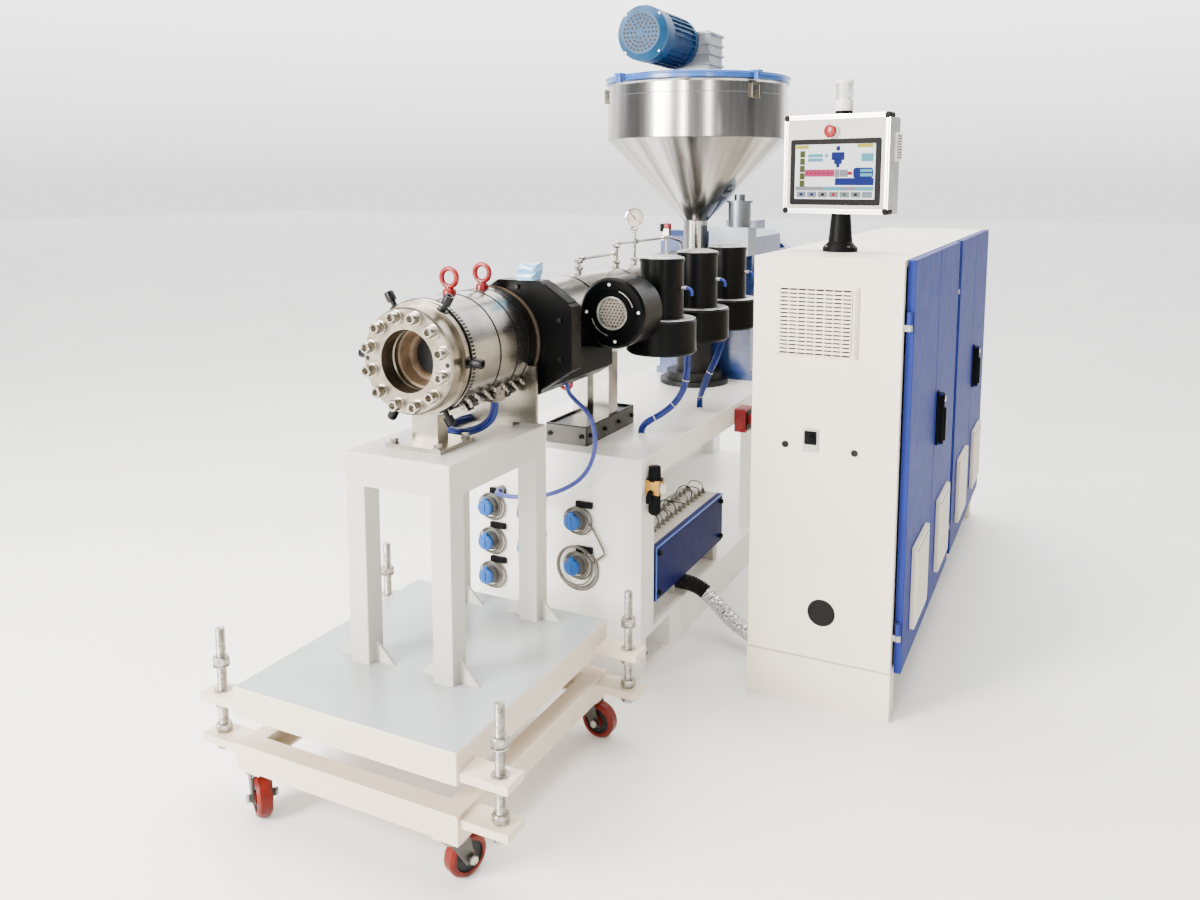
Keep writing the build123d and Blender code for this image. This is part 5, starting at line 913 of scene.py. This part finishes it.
class EXTRUDER_OT_hopper_fittings(bpy.types.Operator):
    """Welds, rolled lid edge, clamps, hooks, motor cowl and gearbox screws of the hopper"""
    bl_idname = "extruder.hopper_fittings"
    bl_label = "Hopper fittings"

    def execute(self, context):
        centre = np.array([0, THROAT_Y, 0])
        rings = ((369.6, 1.8, 1738, 160), (52.5, 2, 1406, 64), (HOPPER_RADIUS, 1.2, RIM - 70, 160))
        welds = [torus(ring, bar, (0, THROAT_Y, z), UPWARD, turns, 8) for ring, bar, z, turns in rings]
        make_piece("hopper_welds", "stainless", (join(*welds), "satin_duct_stainless"))
        edge = torus(376, 5.5, (0, THROAT_Y, RIM + 3), UPWARD, 160, 12)
        bead = lathe([(300, RIM + 5.5), (306, RIM + 9), (312, RIM + 5.5)], centre, UPWARD, 128)
        clamp = join(slab(44, 30, 9, (378, -15, RIM + 1), UPWARD, 4, 2),
                     slab(18, 20, 30, (384, -15, RIM - 26), UPWARD, 3, 1.5))
        clamps = turned(clamp, np.radians([-18, 78, 162, 258]), centre, UPWARD)
        make_piece("lid_edge", "lid_blue", (join(edge, bead), "lid_enamel"), (clamps, "lid_enamel"))
        bars = ((44, 52, 3, 0, -66, 4), (44, 8, 14, 0, -40, 3), (9, 52, 14, -17.5, -66, 3),
                (9, 52, 14, 17.5, -66, 3))
        hook = join(*[slab(wide, tall, deep, (HOPPER_RADIUS + 0.5, y, RIM + z), RIGHT, corner, 1)
                      for wide, tall, deep, y, z, corner in bars])
        hooks = shifted(turned(hook, np.radians([-33, -153, 87]), ORIGIN, UPWARD), [centre])
        make_piece("hopper_hooks", "stainless", (hooks, "ground_plate_steel"))
        dots = [round_places(r, evenly(n), MOTOR) for r, n in ((22, 8), (37, 14), (52, 20), (66, 26))]
        holes = shifted(lathe([(0, 0.5), (5, 0.5), (5.4, -1)], ORIGIN, FRONT, 12), np.concatenate(dots))
        hub = lathe([(0, 2), (10, 2), (12, 0), (12, -1)], MOTOR, FRONT, 32)
        rim = hoop(101, 104, -94, -24, MOTOR, FRONT)
        screws = shifted(hex_nut(9, 5, ORIGIN, FRONT),
                         round_places(97, np.radians([45, 135, 225, 315]), MOTOR + (0, 22, 0)))
        make_piece("motor_cowl", "motor_blue", (holes, "shadow_black"), (hub, "motor_enamel"),
                   (rim, "motor_enamel"), (screws, "zinc_plated_steel"))
        side = np.array([[0, 1, 0], [0.34, 0, 0.94], [-0.94, 0, 0.34]])
        seat = MOTOR + (0, 180, 0) + 93 * side[2]
        box = join(slab(96, 78, 34, seat, side, 6, 3), slab(102, 84, 8, seat + 30 * side[2], side, 6, 2))
        make_piece("motor_terminal_box", "motor_blue", (box, "motor_enamel"))
        heads = shifted(hex_nut(14, 8), round_places(82, evenly(8) + 0.39, (0, THROAT_Y, 1996), UPWARD))
        caps = shifted(socket_head(12, 7, turns=36),
                       [(x, THROAT_Y + y, 2166) for x in (-66, 66) for y in (-66, 66)])
        plate = lathe([(0, 0), (52, 0), (52, 6), (46, 9), (0, 9)], (0, THROAT_Y, 2166))
        make_piece("gearbox_screws", "gearbox_grey", (join(heads, caps), "nickel_bolt_steel"),
                   (plate, "cast_aluminium"))
        return {"FINISHED"}


class EXTRUDER_OT_base_fittings(bpy.types.Operator):
    """Sockets, slide screws, anchors, terminal box, regulator and stop box of the base"""
    bl_idname = "extruder.base_fittings"
    bl_label = "Base fittings"

    def execute(self, context):
        flap = join(lathe([(0, 6.5), (18, 6), (25, 4), (27, 1), (27, -5), (24.5, -5)], (0, -46, 0), FRONT,
                          40), slab(18, 16, 9, (0, -43, 27), FRONT, 4, 2),
                    slab(8, 34, 3, (0, -51.8, 0), FRONT, 3, 1))
        collar = join(torus(31, 5, (0, -6, 0), FRONT, 48, 12), hoop(24.5, 28.5, 8, 34, ORIGIN, FRONT, 40))
        plate = slab(58, 20, 12, (26, 0, 50), FRONT, 2, 1)
        loops = ((36, (1, -9, 2)), (40, (-3, -13, -2)), (43, (4, -18, -1)), (46, (7, -6, -5)))
        wires = join(*[torus(ring, 2.3, place, FRONT, 64, 10) for ring, place in loops])
        make_piece("socket_flaps", "socket_blue", (shifted(flap, SOCKETS), "socket_flap_nylon"),
                   (shifted(collar, SOCKETS), "socket_nylon"), (shifted(plate, SOCKETS), "black_moulding"),
                   (shifted(wires, SOCKETS), "grey_cable_sheath"))
        loops = ((70, 76, 8, 337), (66, 82, 13, 341), (62, 78, 18, 344), (73, 80, 4, 333))
        coil = join(*[torus(ring, 2.3, (x, BASE_FRONT - out, z), FRONT, 80, 10) for ring, x, out, z in loops])
        arm = tube([(112, -1133, 497), (140, -1136, 470), (176, -1136, 408), (178, -1136, 396),
                    (150, -1134, 372), (128, -1131, 356)], 3.6, ALONG_Y, 10)
        make_piece("socket_bails", "zinc_steel", (join(coil, arm), "grey_cable_sheath"))
        row = [(0, y, 747) for y in np.linspace(-1035, -713, 4)]
        side = shifted(socket_head(15, 8, (76, 0, 0), RIGHT, 36), row)
        left = shifted(socket_head(13, 6, (-75, 0, 0), LEFT, 36), row)
        nose = shifted(socket_head(15, 8, (0, -1058, 0), FRONT, 36), [(-58, 0, 747), (58, 0, 747)])
        ribs = join(slab(362, 60, 2, (74.6, -874, 746), RIGHT, 2, 0.6),
                    slab(146, 60, 2, (0, -1056.6, 746), FRONT, 2, 0.6))
        make_piece("slide_screws", "dark_steel", (join(side, left, nose), "black_oxide_steel"),
                   (ribs, "scraped_plate_steel"))
        eye = join(torus(20, 6.5, (0, -1057, 918), FRONT, 48, 14),
                   lathe([(0, 0), (14, 0), (13, 8), (7, 13), (0, 13)], (0, -1057, 957.5), DOWN, 32))
        make_piece("trough_eye", "red_paint", (eye, "red_enamel"))
        anchor = join(disc(22, 3, turns=40), hex_nut(30, 16, (0, 0, 3)),
                      lathe([(0, 0), (9.8, 0), (9.8, 36), (8.4, 38), (0, 38)], turns=32))
        anchors = shifted(anchor, [(x, y, 16) for x in (-240, 240) for y in (-985, 985)])
        make_piece("floor_anchors", "zinc_steel", (anchors, "zinc_plated_steel"))
        ys = np.linspace(-985, -400, 16)
        gland = join(hex_nut(17, 6, (0, 0, 395)),
                     lathe([(0, 0), (7, 0), (6.4, 9), (4, 13), (0, 13)], (0, 0, 401), UPWARD, 20))
        glands = shifted(gland, [(x, y, 0) for y in ys for x in (170, 232)])
        make_piece("terminal_glands", "black_plastic", (glands, "grey_cable_sheath"))
        u = np.linspace(0, math.pi, 18)
        links = []
        for index, y in enumerate(ys):
            lean, rise = 24 * math.sin(2.3 * index), 24 + 14 * math.sin(1.7 * index)
            loop = [201 + 31 * np.cos(u), y + lean * np.sin(u), 410 + rise * np.sin(u) ** 0.8]
            links.append(tube(np.column_stack(loop), 2, ALONG_Y, 8))
        make_piece("terminal_links", "black_plastic", (join(*links[::2]), "black_rubber"),
                   (join(*links[1::2]), "socket_nylon"))
        trim = join(slab(640, 5, 4, (300, -690, 394), RIGHT, 1.5, 0.8),
                    slab(5, 180, 4, (300, -1008.5, 305), RIGHT, 1.5, 0.8))
        knobs = shifted(lathe([(0, 12), (7, 12), (9, 9), (9, 0), (0, 0)], (300, 0, 0), RIGHT, 28),
                        [(0, y, z) for y in (-985, -395) for z in (372, 238)])
        make_piece("cover_trim", "cover_navy", (trim, "blue_edge_paint"), (knobs, "black_moulding"))
        low, high = (np.array(corner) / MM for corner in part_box("air_regulator"))
        x, y, z = (low + high) / 2
        knob = lathe([(0, 41), (16, 41), (19.2, 39), (19.8, 2), (19.8, -1)], (x, y, high[2] - 38), UPWARD, 40)
        bowl = lathe([(19.2, 62), (19.6, 0), (14, -8), (0, -9)], (x, y, low[2]), UPWARD, 40)
        ring = hoop(20, 25, 0, 6, (x, y, high[2] - 42), UPWARD, 40)
        gauge = lathe([(0, 0), (15, 0), (16, 2), (16, 12), (14, 13), (0, 13)], (x + 23, y, z + 6), RIGHT, 40)
        bend = [(x - 4, y - back, z - fall) for back, fall in ((20, 4), (32, 6), (40, 14), (41, 34))]
        make_piece("regulator_fittings", "black_plastic", (join(knob, bowl), "black_moulding"),
                   (join(ring, tube(bend, 8, (1, 0, 0), 14)), "black_moulding"), (gauge, "white_moulding"))
        low, high = (np.array(corner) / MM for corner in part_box("stop_switch"))
        at = np.array([345, *(low + high)[1:] / 2])
        button = lathe([(0, 24), (14, 24), (20, 21), (21, 15), (17, 12), (12, 10), (12, 0)], at, RIGHT, 40)
        make_piece("stop_button", "red_paint", (button, "red_enamel"),
                   (slab(74, 74, 3, at, RIGHT, 6, 1.2), "black_moulding"))
        return {"FINISHED"}


class EXTRUDER_OT_cabinet_fittings(bpy.types.Operator):
    """Grille, louvres, handles, locks, switch plate and plug of the control cabinet"""
    bl_idname = "extruder.cabinet_fittings"
    bl_label = "Cabinet fittings"

    def execute(self, context):
        pitch = context.scene.extruder_sizes.louvre_pitch / MM
        at = np.array([807, CABINET_FRONT - 16, 1166])
        make_piece("cabinet_grille", "cabinet_paint",
                   (slab(212, 190, 0.6, at, FRONT, 4, 0.2), "shadow_black"),
                   (louvres(at, FRONT, 206, 188, pitch * 0.62, 3.4, 16, pitch, 9), "cabinet_powder_coat"))
        for number, (near, far) in enumerate(DOORS, 1):
            at = np.array([DOOR_FACE + 14, (near + far) / 2, 361])
            vent = join(slab(250, 250, 1.6, at - (1.4, 0, 0), RIGHT, 8, 0.6),
                        louvres(at, RIGHT, 220, 220, pitch * 0.6, 3.2, 19, pitch, 10),
                        shifted(slab(14, 252, 15, at - (14, 0, 0), RIGHT, 4, 2),
                                [(0, -119.5, 0), (0, 119.5, 0)]),
                        shifted(slab(252, 14, 15, at - (14, 0, 0), RIGHT, 4, 2),
                                [(0, 0, -119.5), (0, 0, 119.5)]))
            back = slab(222, 222, 0.5, at + (0.2, 0, 0), RIGHT, 4, 0.2)
            make_piece("door_vent_%d" % number, "cabinet_paint", (vent, "cabinet_powder_coat"),
                       (back, "shadow_black"), body="door_%d" % number)
        for number in (2, 4):
            at = np.array([DOOR_FACE, DOORS[number - 1, 0] + 46, 792])
            handle = join(slab(38, 182, 8, at, RIGHT, 8, 2), slab(33, 174, 25, at, RIGHT, 10, 4),
                          slab(24, 112, 9, at + (22, 0, -18), RIGHT, 8, 3))
            lock = lathe([(0, 27), (7, 27), (9, 25.5), (9, 22), (0, 22)], at + (0, 0, 66), RIGHT, 32)
            make_piece("swing_handle_%d" % number, "black_plastic", (handle, "black_moulding"),
                       (lock, "chromed_brass"), body="door_%d" % number)
        front = CABINET_FRONT
        plate = slab(46, 70, 5, (800, front, 816), FRONT, 4, 1.5)
        inner = slab(36, 40, 3, (800, front - 5, 824), FRONT, 3, 1)
        knob = join(lathe([(0, 10), (9, 10), (11, 8), (11.5, 0), (0, 0)], (800, front - 8, 826), FRONT, 32),
                    slab(5, 20, 14, (800, front - 8, 826), FRONT, 2, 1))
        locks = shifted(lathe([(0, 3), (3.6, 3), (4.2, 5), (8.6, 5), (10, 3), (10, 0), (0, 0)], (0, front, 0),
                              FRONT, 32), [(724, 0, 796), (927, 0, 792)])
        plug = lathe([(0, 2.5), (34, 2.5), (36, 4), (40, 3), (41, 0), (0, 0)], (844, front, 296), FRONT, 64)
        make_piece("cabinet_switch", "black_plastic", (plate, "grey_box_paint"), (inner, "black_moulding"),
                   (knob, "black_moulding"), (locks, "black_oxide_steel"), (plug, "black_rubber"))
        seam = slab(430, 4, 1, (834, front, 150), FRONT, 1, 0.3)
        make_piece("plinth_seam", "cabinet_paint", (seam, "grey_box_paint"))
        return {"FINISHED"}


class EXTRUDER_OT_panel_fittings(bpy.types.Operator):
    """Frame corners, face, display, stop button and vent of the operator panel, and its lamp"""
    bl_idname = "extruder.panel_fittings"
    bl_label = "Operator panel fittings"

    def execute(self, context):
        basis, rides = upright(PANEL_TURN), {"body": "operator_panel"}
        face = slab(318, 272, 1.6, on_panel(0, 150, 54.6), basis, 3, 0.6)
        bezel = slab(296, 200, 3, on_panel(0, 126, 55.4), basis, 7, 1.2)
        glass = slab(262, 166, 0.6, on_panel(0, SCREEN_MIDDLE, 58.2), basis, 2, 0.2)
        corners = [slab(20, 20, 37, on_panel(sx * 163.5, 150 + sz * 141.5, 20), basis, 8, 3)
                   for sx in (-1, 1) for sz in (-1, 1)]
        edges = [slab(6, 262, 4, on_panel(sx * 165.5, 150, 53), basis, 2.5, 1.8) for sx in (-1, 1)]
        edges += [slab(306, 6, 4, on_panel(0, 150 + sz * 143.5, 53), basis, 2.5, 1.8) for sz in (-1, 1)]
        make_piece("panel_face", "panel_grey", (face, "panel_face_paint"), (bezel, "black_moulding"),
                   (glass, "display_white"), (join(*corners), "black_moulding"),
                   (join(*edges), "anodised_aluminium"), **rides)

        def tile(colour, x, z, width, height, corner=0.6, level=FLUSH):
            return slab(width, height, 0.5, on_panel(x, SCREEN_MIDDLE + z, level), basis, corner, 0.15,
                        3), "display_" + colour

        tiles = [tile(*row) for row in TILES]
        tiles += [tile("olive", -106, 54 - 22.5 * index, 17, 20) for index in range(5)]
        tiles += [tile("grey", -108 + 36 * index, -69, 32, 18, 2) for index in range(7)]
        tiles += [tile(colour, -108 + 36 * index, -69, 12, 8, 3.8, RAISED)
                  for index, colour in enumerate(MARKS)]
        tiles += [tile("red", -90 + 14 * index, -4, 9, 5, 2.4, RAISED) for index in range(7)]
        make_piece("display_mimic", "panel_grey", *tiles, **rides)
        at = on_panel(-10, 249, 56)
        ring = lathe([(0, 3), (21, 3), (22, 1), (22, -1), (0, -1)], at, basis)
        stop = lathe([(0, 25), (10, 24.6), (17, 22), (20, 17), (18, 13), (12, 11), (12, 2), (0, 2)], at,
                     basis)
        make_piece("panel_stop", "red_paint", (ring, "white_moulding"), (stop, "red_enamel"), **rides)
        side = np.array([-basis[2], basis[1], basis[0]])
        vent = on_panel(160, 200, -14)
        slits = shifted(slab(34, 3, 0.8, vent + 13.8 * side[2], side, 1.2, 0.2, 3),
                        [(0, 0, z) for z in range(-32, 33, 8)])
        make_piece("panel_vent", "panel_grey", (slab(44, 84, 14, vent, side, 4, 2.5), "white_moulding"),
                   (slits, "shadow_black"), **rides)
        top = PANEL_AT + (0, 0, 288)
        base = lathe([(0, 0), (24, 0), (26.6, 3), (26.6, 22.5), (26.4, 24), (0, 24)], top)
        sleeve = lathe([(26.3, 24), (26.6, 25), (26.6, 56), (26.3, 57)], top)
        cap = lathe([(26.4, 106), (26.8, 107), (26, 114), (20, 120.4), (0, 120.8)], top)
        lamp = lathe([(0, 60), (10, 62), (12, 74), (9, 88), (0, 92)], top, turns=32)
        make_piece("beacon_fittings", "lamp_clear", (base, "black_moulding"),
                   (join(sleeve, cap), "white_moulding"), (lamp, "display_white"), **rides)
        heads = shifted(hex_nut(11, 6), round_places(45, evenly(4) + 0.78, (801, -739, 1362), UPWARD))
        make_piece("post_screws", "zinc_steel", (heads, "zinc_plated_steel"))
        return {"FINISHED"}


class EXTRUDER_OT_caster_fittings(bpy.types.Operator):
    """Wheel centres, axle nuts and swivel races of the casters"""
    bl_idname = "extruder.caster_fittings"
    bl_label = "Caster fittings"

    def execute(self, context):
        web = [(16.5, 13.2), (34, 13.2), (35.6, 16), (35.6, 12), (16.5, 11)]
        ring = [(37, 18.2), (42, 18.2), (43.4, 17.6), (42, 17), (37, 17)]
        for corner, (x, y, turn) in CASTERS.items():
            lead, up, axle = upright(math.radians(turn))[[2, 1, 0]]
            hub = np.array([x, y, 50]) + 30 * lead
            ways = [np.array([lead * sign, up, axle * sign]) for sign in (-1, 1)]
            make_piece("wheel_centre_" + corner, "dark_steel",
                       (join(*[lathe(web, hub, way, 56, True) for way in ways]), "oiled_cast_iron"),
                       (join(*[lathe(ring, hub, way, 72, True) for way in ways]), "polyurethane_tread"),
                       body="wheel_" + corner)
            nuts = [hex_nut(19, 6.5, hub + 32 * way[2], way) for way in ways]
            race = lathe([(20, 0), (33, 0), (34, 2), (31, 4), (20, 4)], (x, y, 102.6), UPWARD, 56, True)
            make_piece("caster_fixings_" + corner, "zinc_steel", (join(*nuts, race), "zinc_plated_steel"),
                       body="fork_" + corner)
        return {"FINISHED"}


class EXTRUDER_OT_stage(bpy.types.Operator):
    """Pale floor, soft studio light and the camera"""
    bl_idname = "extruder.stage"
    bl_label = "Stage"

    def execute(self, context):
        scene = context.scene
        # Matt floor paint: nearly white, with a drift so slight that it only takes off the evenness.
        tree, shader, place = new_finish("pale_floor_paint", IOR=1.45)
        cloud = mottle(tree, shader, place, ("#F1F1F0", "#EAEAE9"), 900, 0.6)
        dress(tree, shader, rough=cloud, span=(0.5, 0.62))
        mesh = bpy.data.meshes.new("floor")
        corners = [(x * FLOOR_REACH, y * FLOOR_REACH, 0) for x, y in ((-1, -1), (1, -1), (1, 1), (-1, 1))]
        mesh.from_pydata(corners, [], [(0, 1, 2, 3)])
        mesh.materials.append(bpy.data.materials["pale_floor_paint"])
        floor = bpy.data.objects.new("floor", mesh)
        scene.collection.objects.link(floor)
        # Bright room behind the machine, dim in front and to the right, so that metal has both to reflect.
        world = bpy.data.worlds.new("studio")
        scene.world = world
        world.use_nodes = True
        sky = world.node_tree
        way = add(sky, "SeparateXYZ", {"Vector": add(sky, "TexCoord")["Generated"]})
        lift = add(sky, "MapRange", {"Value": way["Z"], "From Max": 0.3, "To Min": 1.85, "To Max": 5.4})
        back, side = (add(sky, "MapRange", {"Value": way[axis], "From Min": start, "From Max": end},
                          interpolation_type="SMOOTHSTEP")["Result"]
                      for axis, start, end in (("Y", -0.3, 0.5), ("X", 0.8, 0.05)))
        both = add(sky, "Math", {0: back, 1: side}, operation="MULTIPLY")
        tone = add(sky, "Mix", {"Factor": both["Value"], "A": 0.2, "B": lift["Result"]})
        sky.links.new(tone["Result"], sky.nodes["Background"].inputs["Color"])
        for name, (at, aim, size, share) in LIGHTS.items():
            light = bpy.data.lights.new(name, "AREA")
            light.energy = scene.extruder_sizes.key_power * share
            light.shape = "RECTANGLE"
            light.size, light.size_y = size
            light.color = linear(LAMP_COLOUR)[:3]
            lamp = bpy.data.objects.new(name, light)
            lamp.location = at
            lamp.rotation_euler = (Vector(aim) - Vector(at)).to_track_quat("-Z", "Y").to_euler()
            scene.collection.objects.link(lamp)
        lens = bpy.data.cameras.new("camera")
        lens.lens, lens.sensor_width, lens.shift_y = CAMERA_LENS, CAMERA_SENSOR, CAMERA_SHIFT
        camera = bpy.data.objects.new("camera", lens)
        level = math.cos(CAMERA_PITCH)
        sight = Vector((-math.sin(CAMERA_AZIMUTH) * level, math.cos(CAMERA_AZIMUTH) * level,
                        -math.sin(CAMERA_PITCH)))
        camera.location = CAMERA_AT
        camera.rotation_euler = sight.to_track_quat("-Z", "Y").to_euler()
        scene.collection.objects.link(camera)
        scene.camera = camera
        return {"FINISHED"}


OPERATORS = (EXTRUDER_OT_finishes, EXTRUDER_OT_stage, EXTRUDER_OT_leads, EXTRUDER_OT_die_fittings,
             EXTRUDER_OT_jack_screws, EXTRUDER_OT_blower_fittings, EXTRUDER_OT_pipe_fittings,
             EXTRUDER_OT_hopper_fittings, EXTRUDER_OT_base_fittings, EXTRUDER_OT_cabinet_fittings,
             EXTRUDER_OT_panel_fittings, EXTRUDER_OT_caster_fittings)


class EXTRUDER_PT_dressing(bpy.types.Panel):
    """Lists the steps that dress the extruder"""
    bl_label = "Extruder"
    bl_idname = "EXTRUDER_PT_dressing"
    bl_space_type = "VIEW_3D"
    bl_region_type = "UI"
    bl_category = "Extruder"

    def draw(self, context):
        for group in (context.scene.extruder_sizes, context.scene.extruder_colours):
            for name in group.__annotations__:
                self.layout.prop(group, name)
        for operator in OPERATORS:
            self.layout.operator(operator.bl_idname)


CLASSES = (ExtruderSizes, ExtruderColours, *OPERATORS, EXTRUDER_PT_dressing)


def register():
    """Makes the classes known and hangs the settings on the scene."""
    for item in CLASSES:
        bpy.utils.register_class(item)
    bpy.types.Scene.extruder_sizes = PointerProperty(type=ExtruderSizes)
    bpy.types.Scene.extruder_colours = PointerProperty(type=ExtruderColours)


def unregister():
    """Takes the settings and the classes away again."""
    del bpy.types.Scene.extruder_colours
    del bpy.types.Scene.extruder_sizes
    for item in reversed(CLASSES):
        bpy.utils.unregister_class(item)


def main():
    register()
    for operator in OPERATORS:
        group, name = operator.bl_idname.split(".")
        getattr(getattr(bpy.ops, group), name)()


if __name__ == "__main__":
    main()
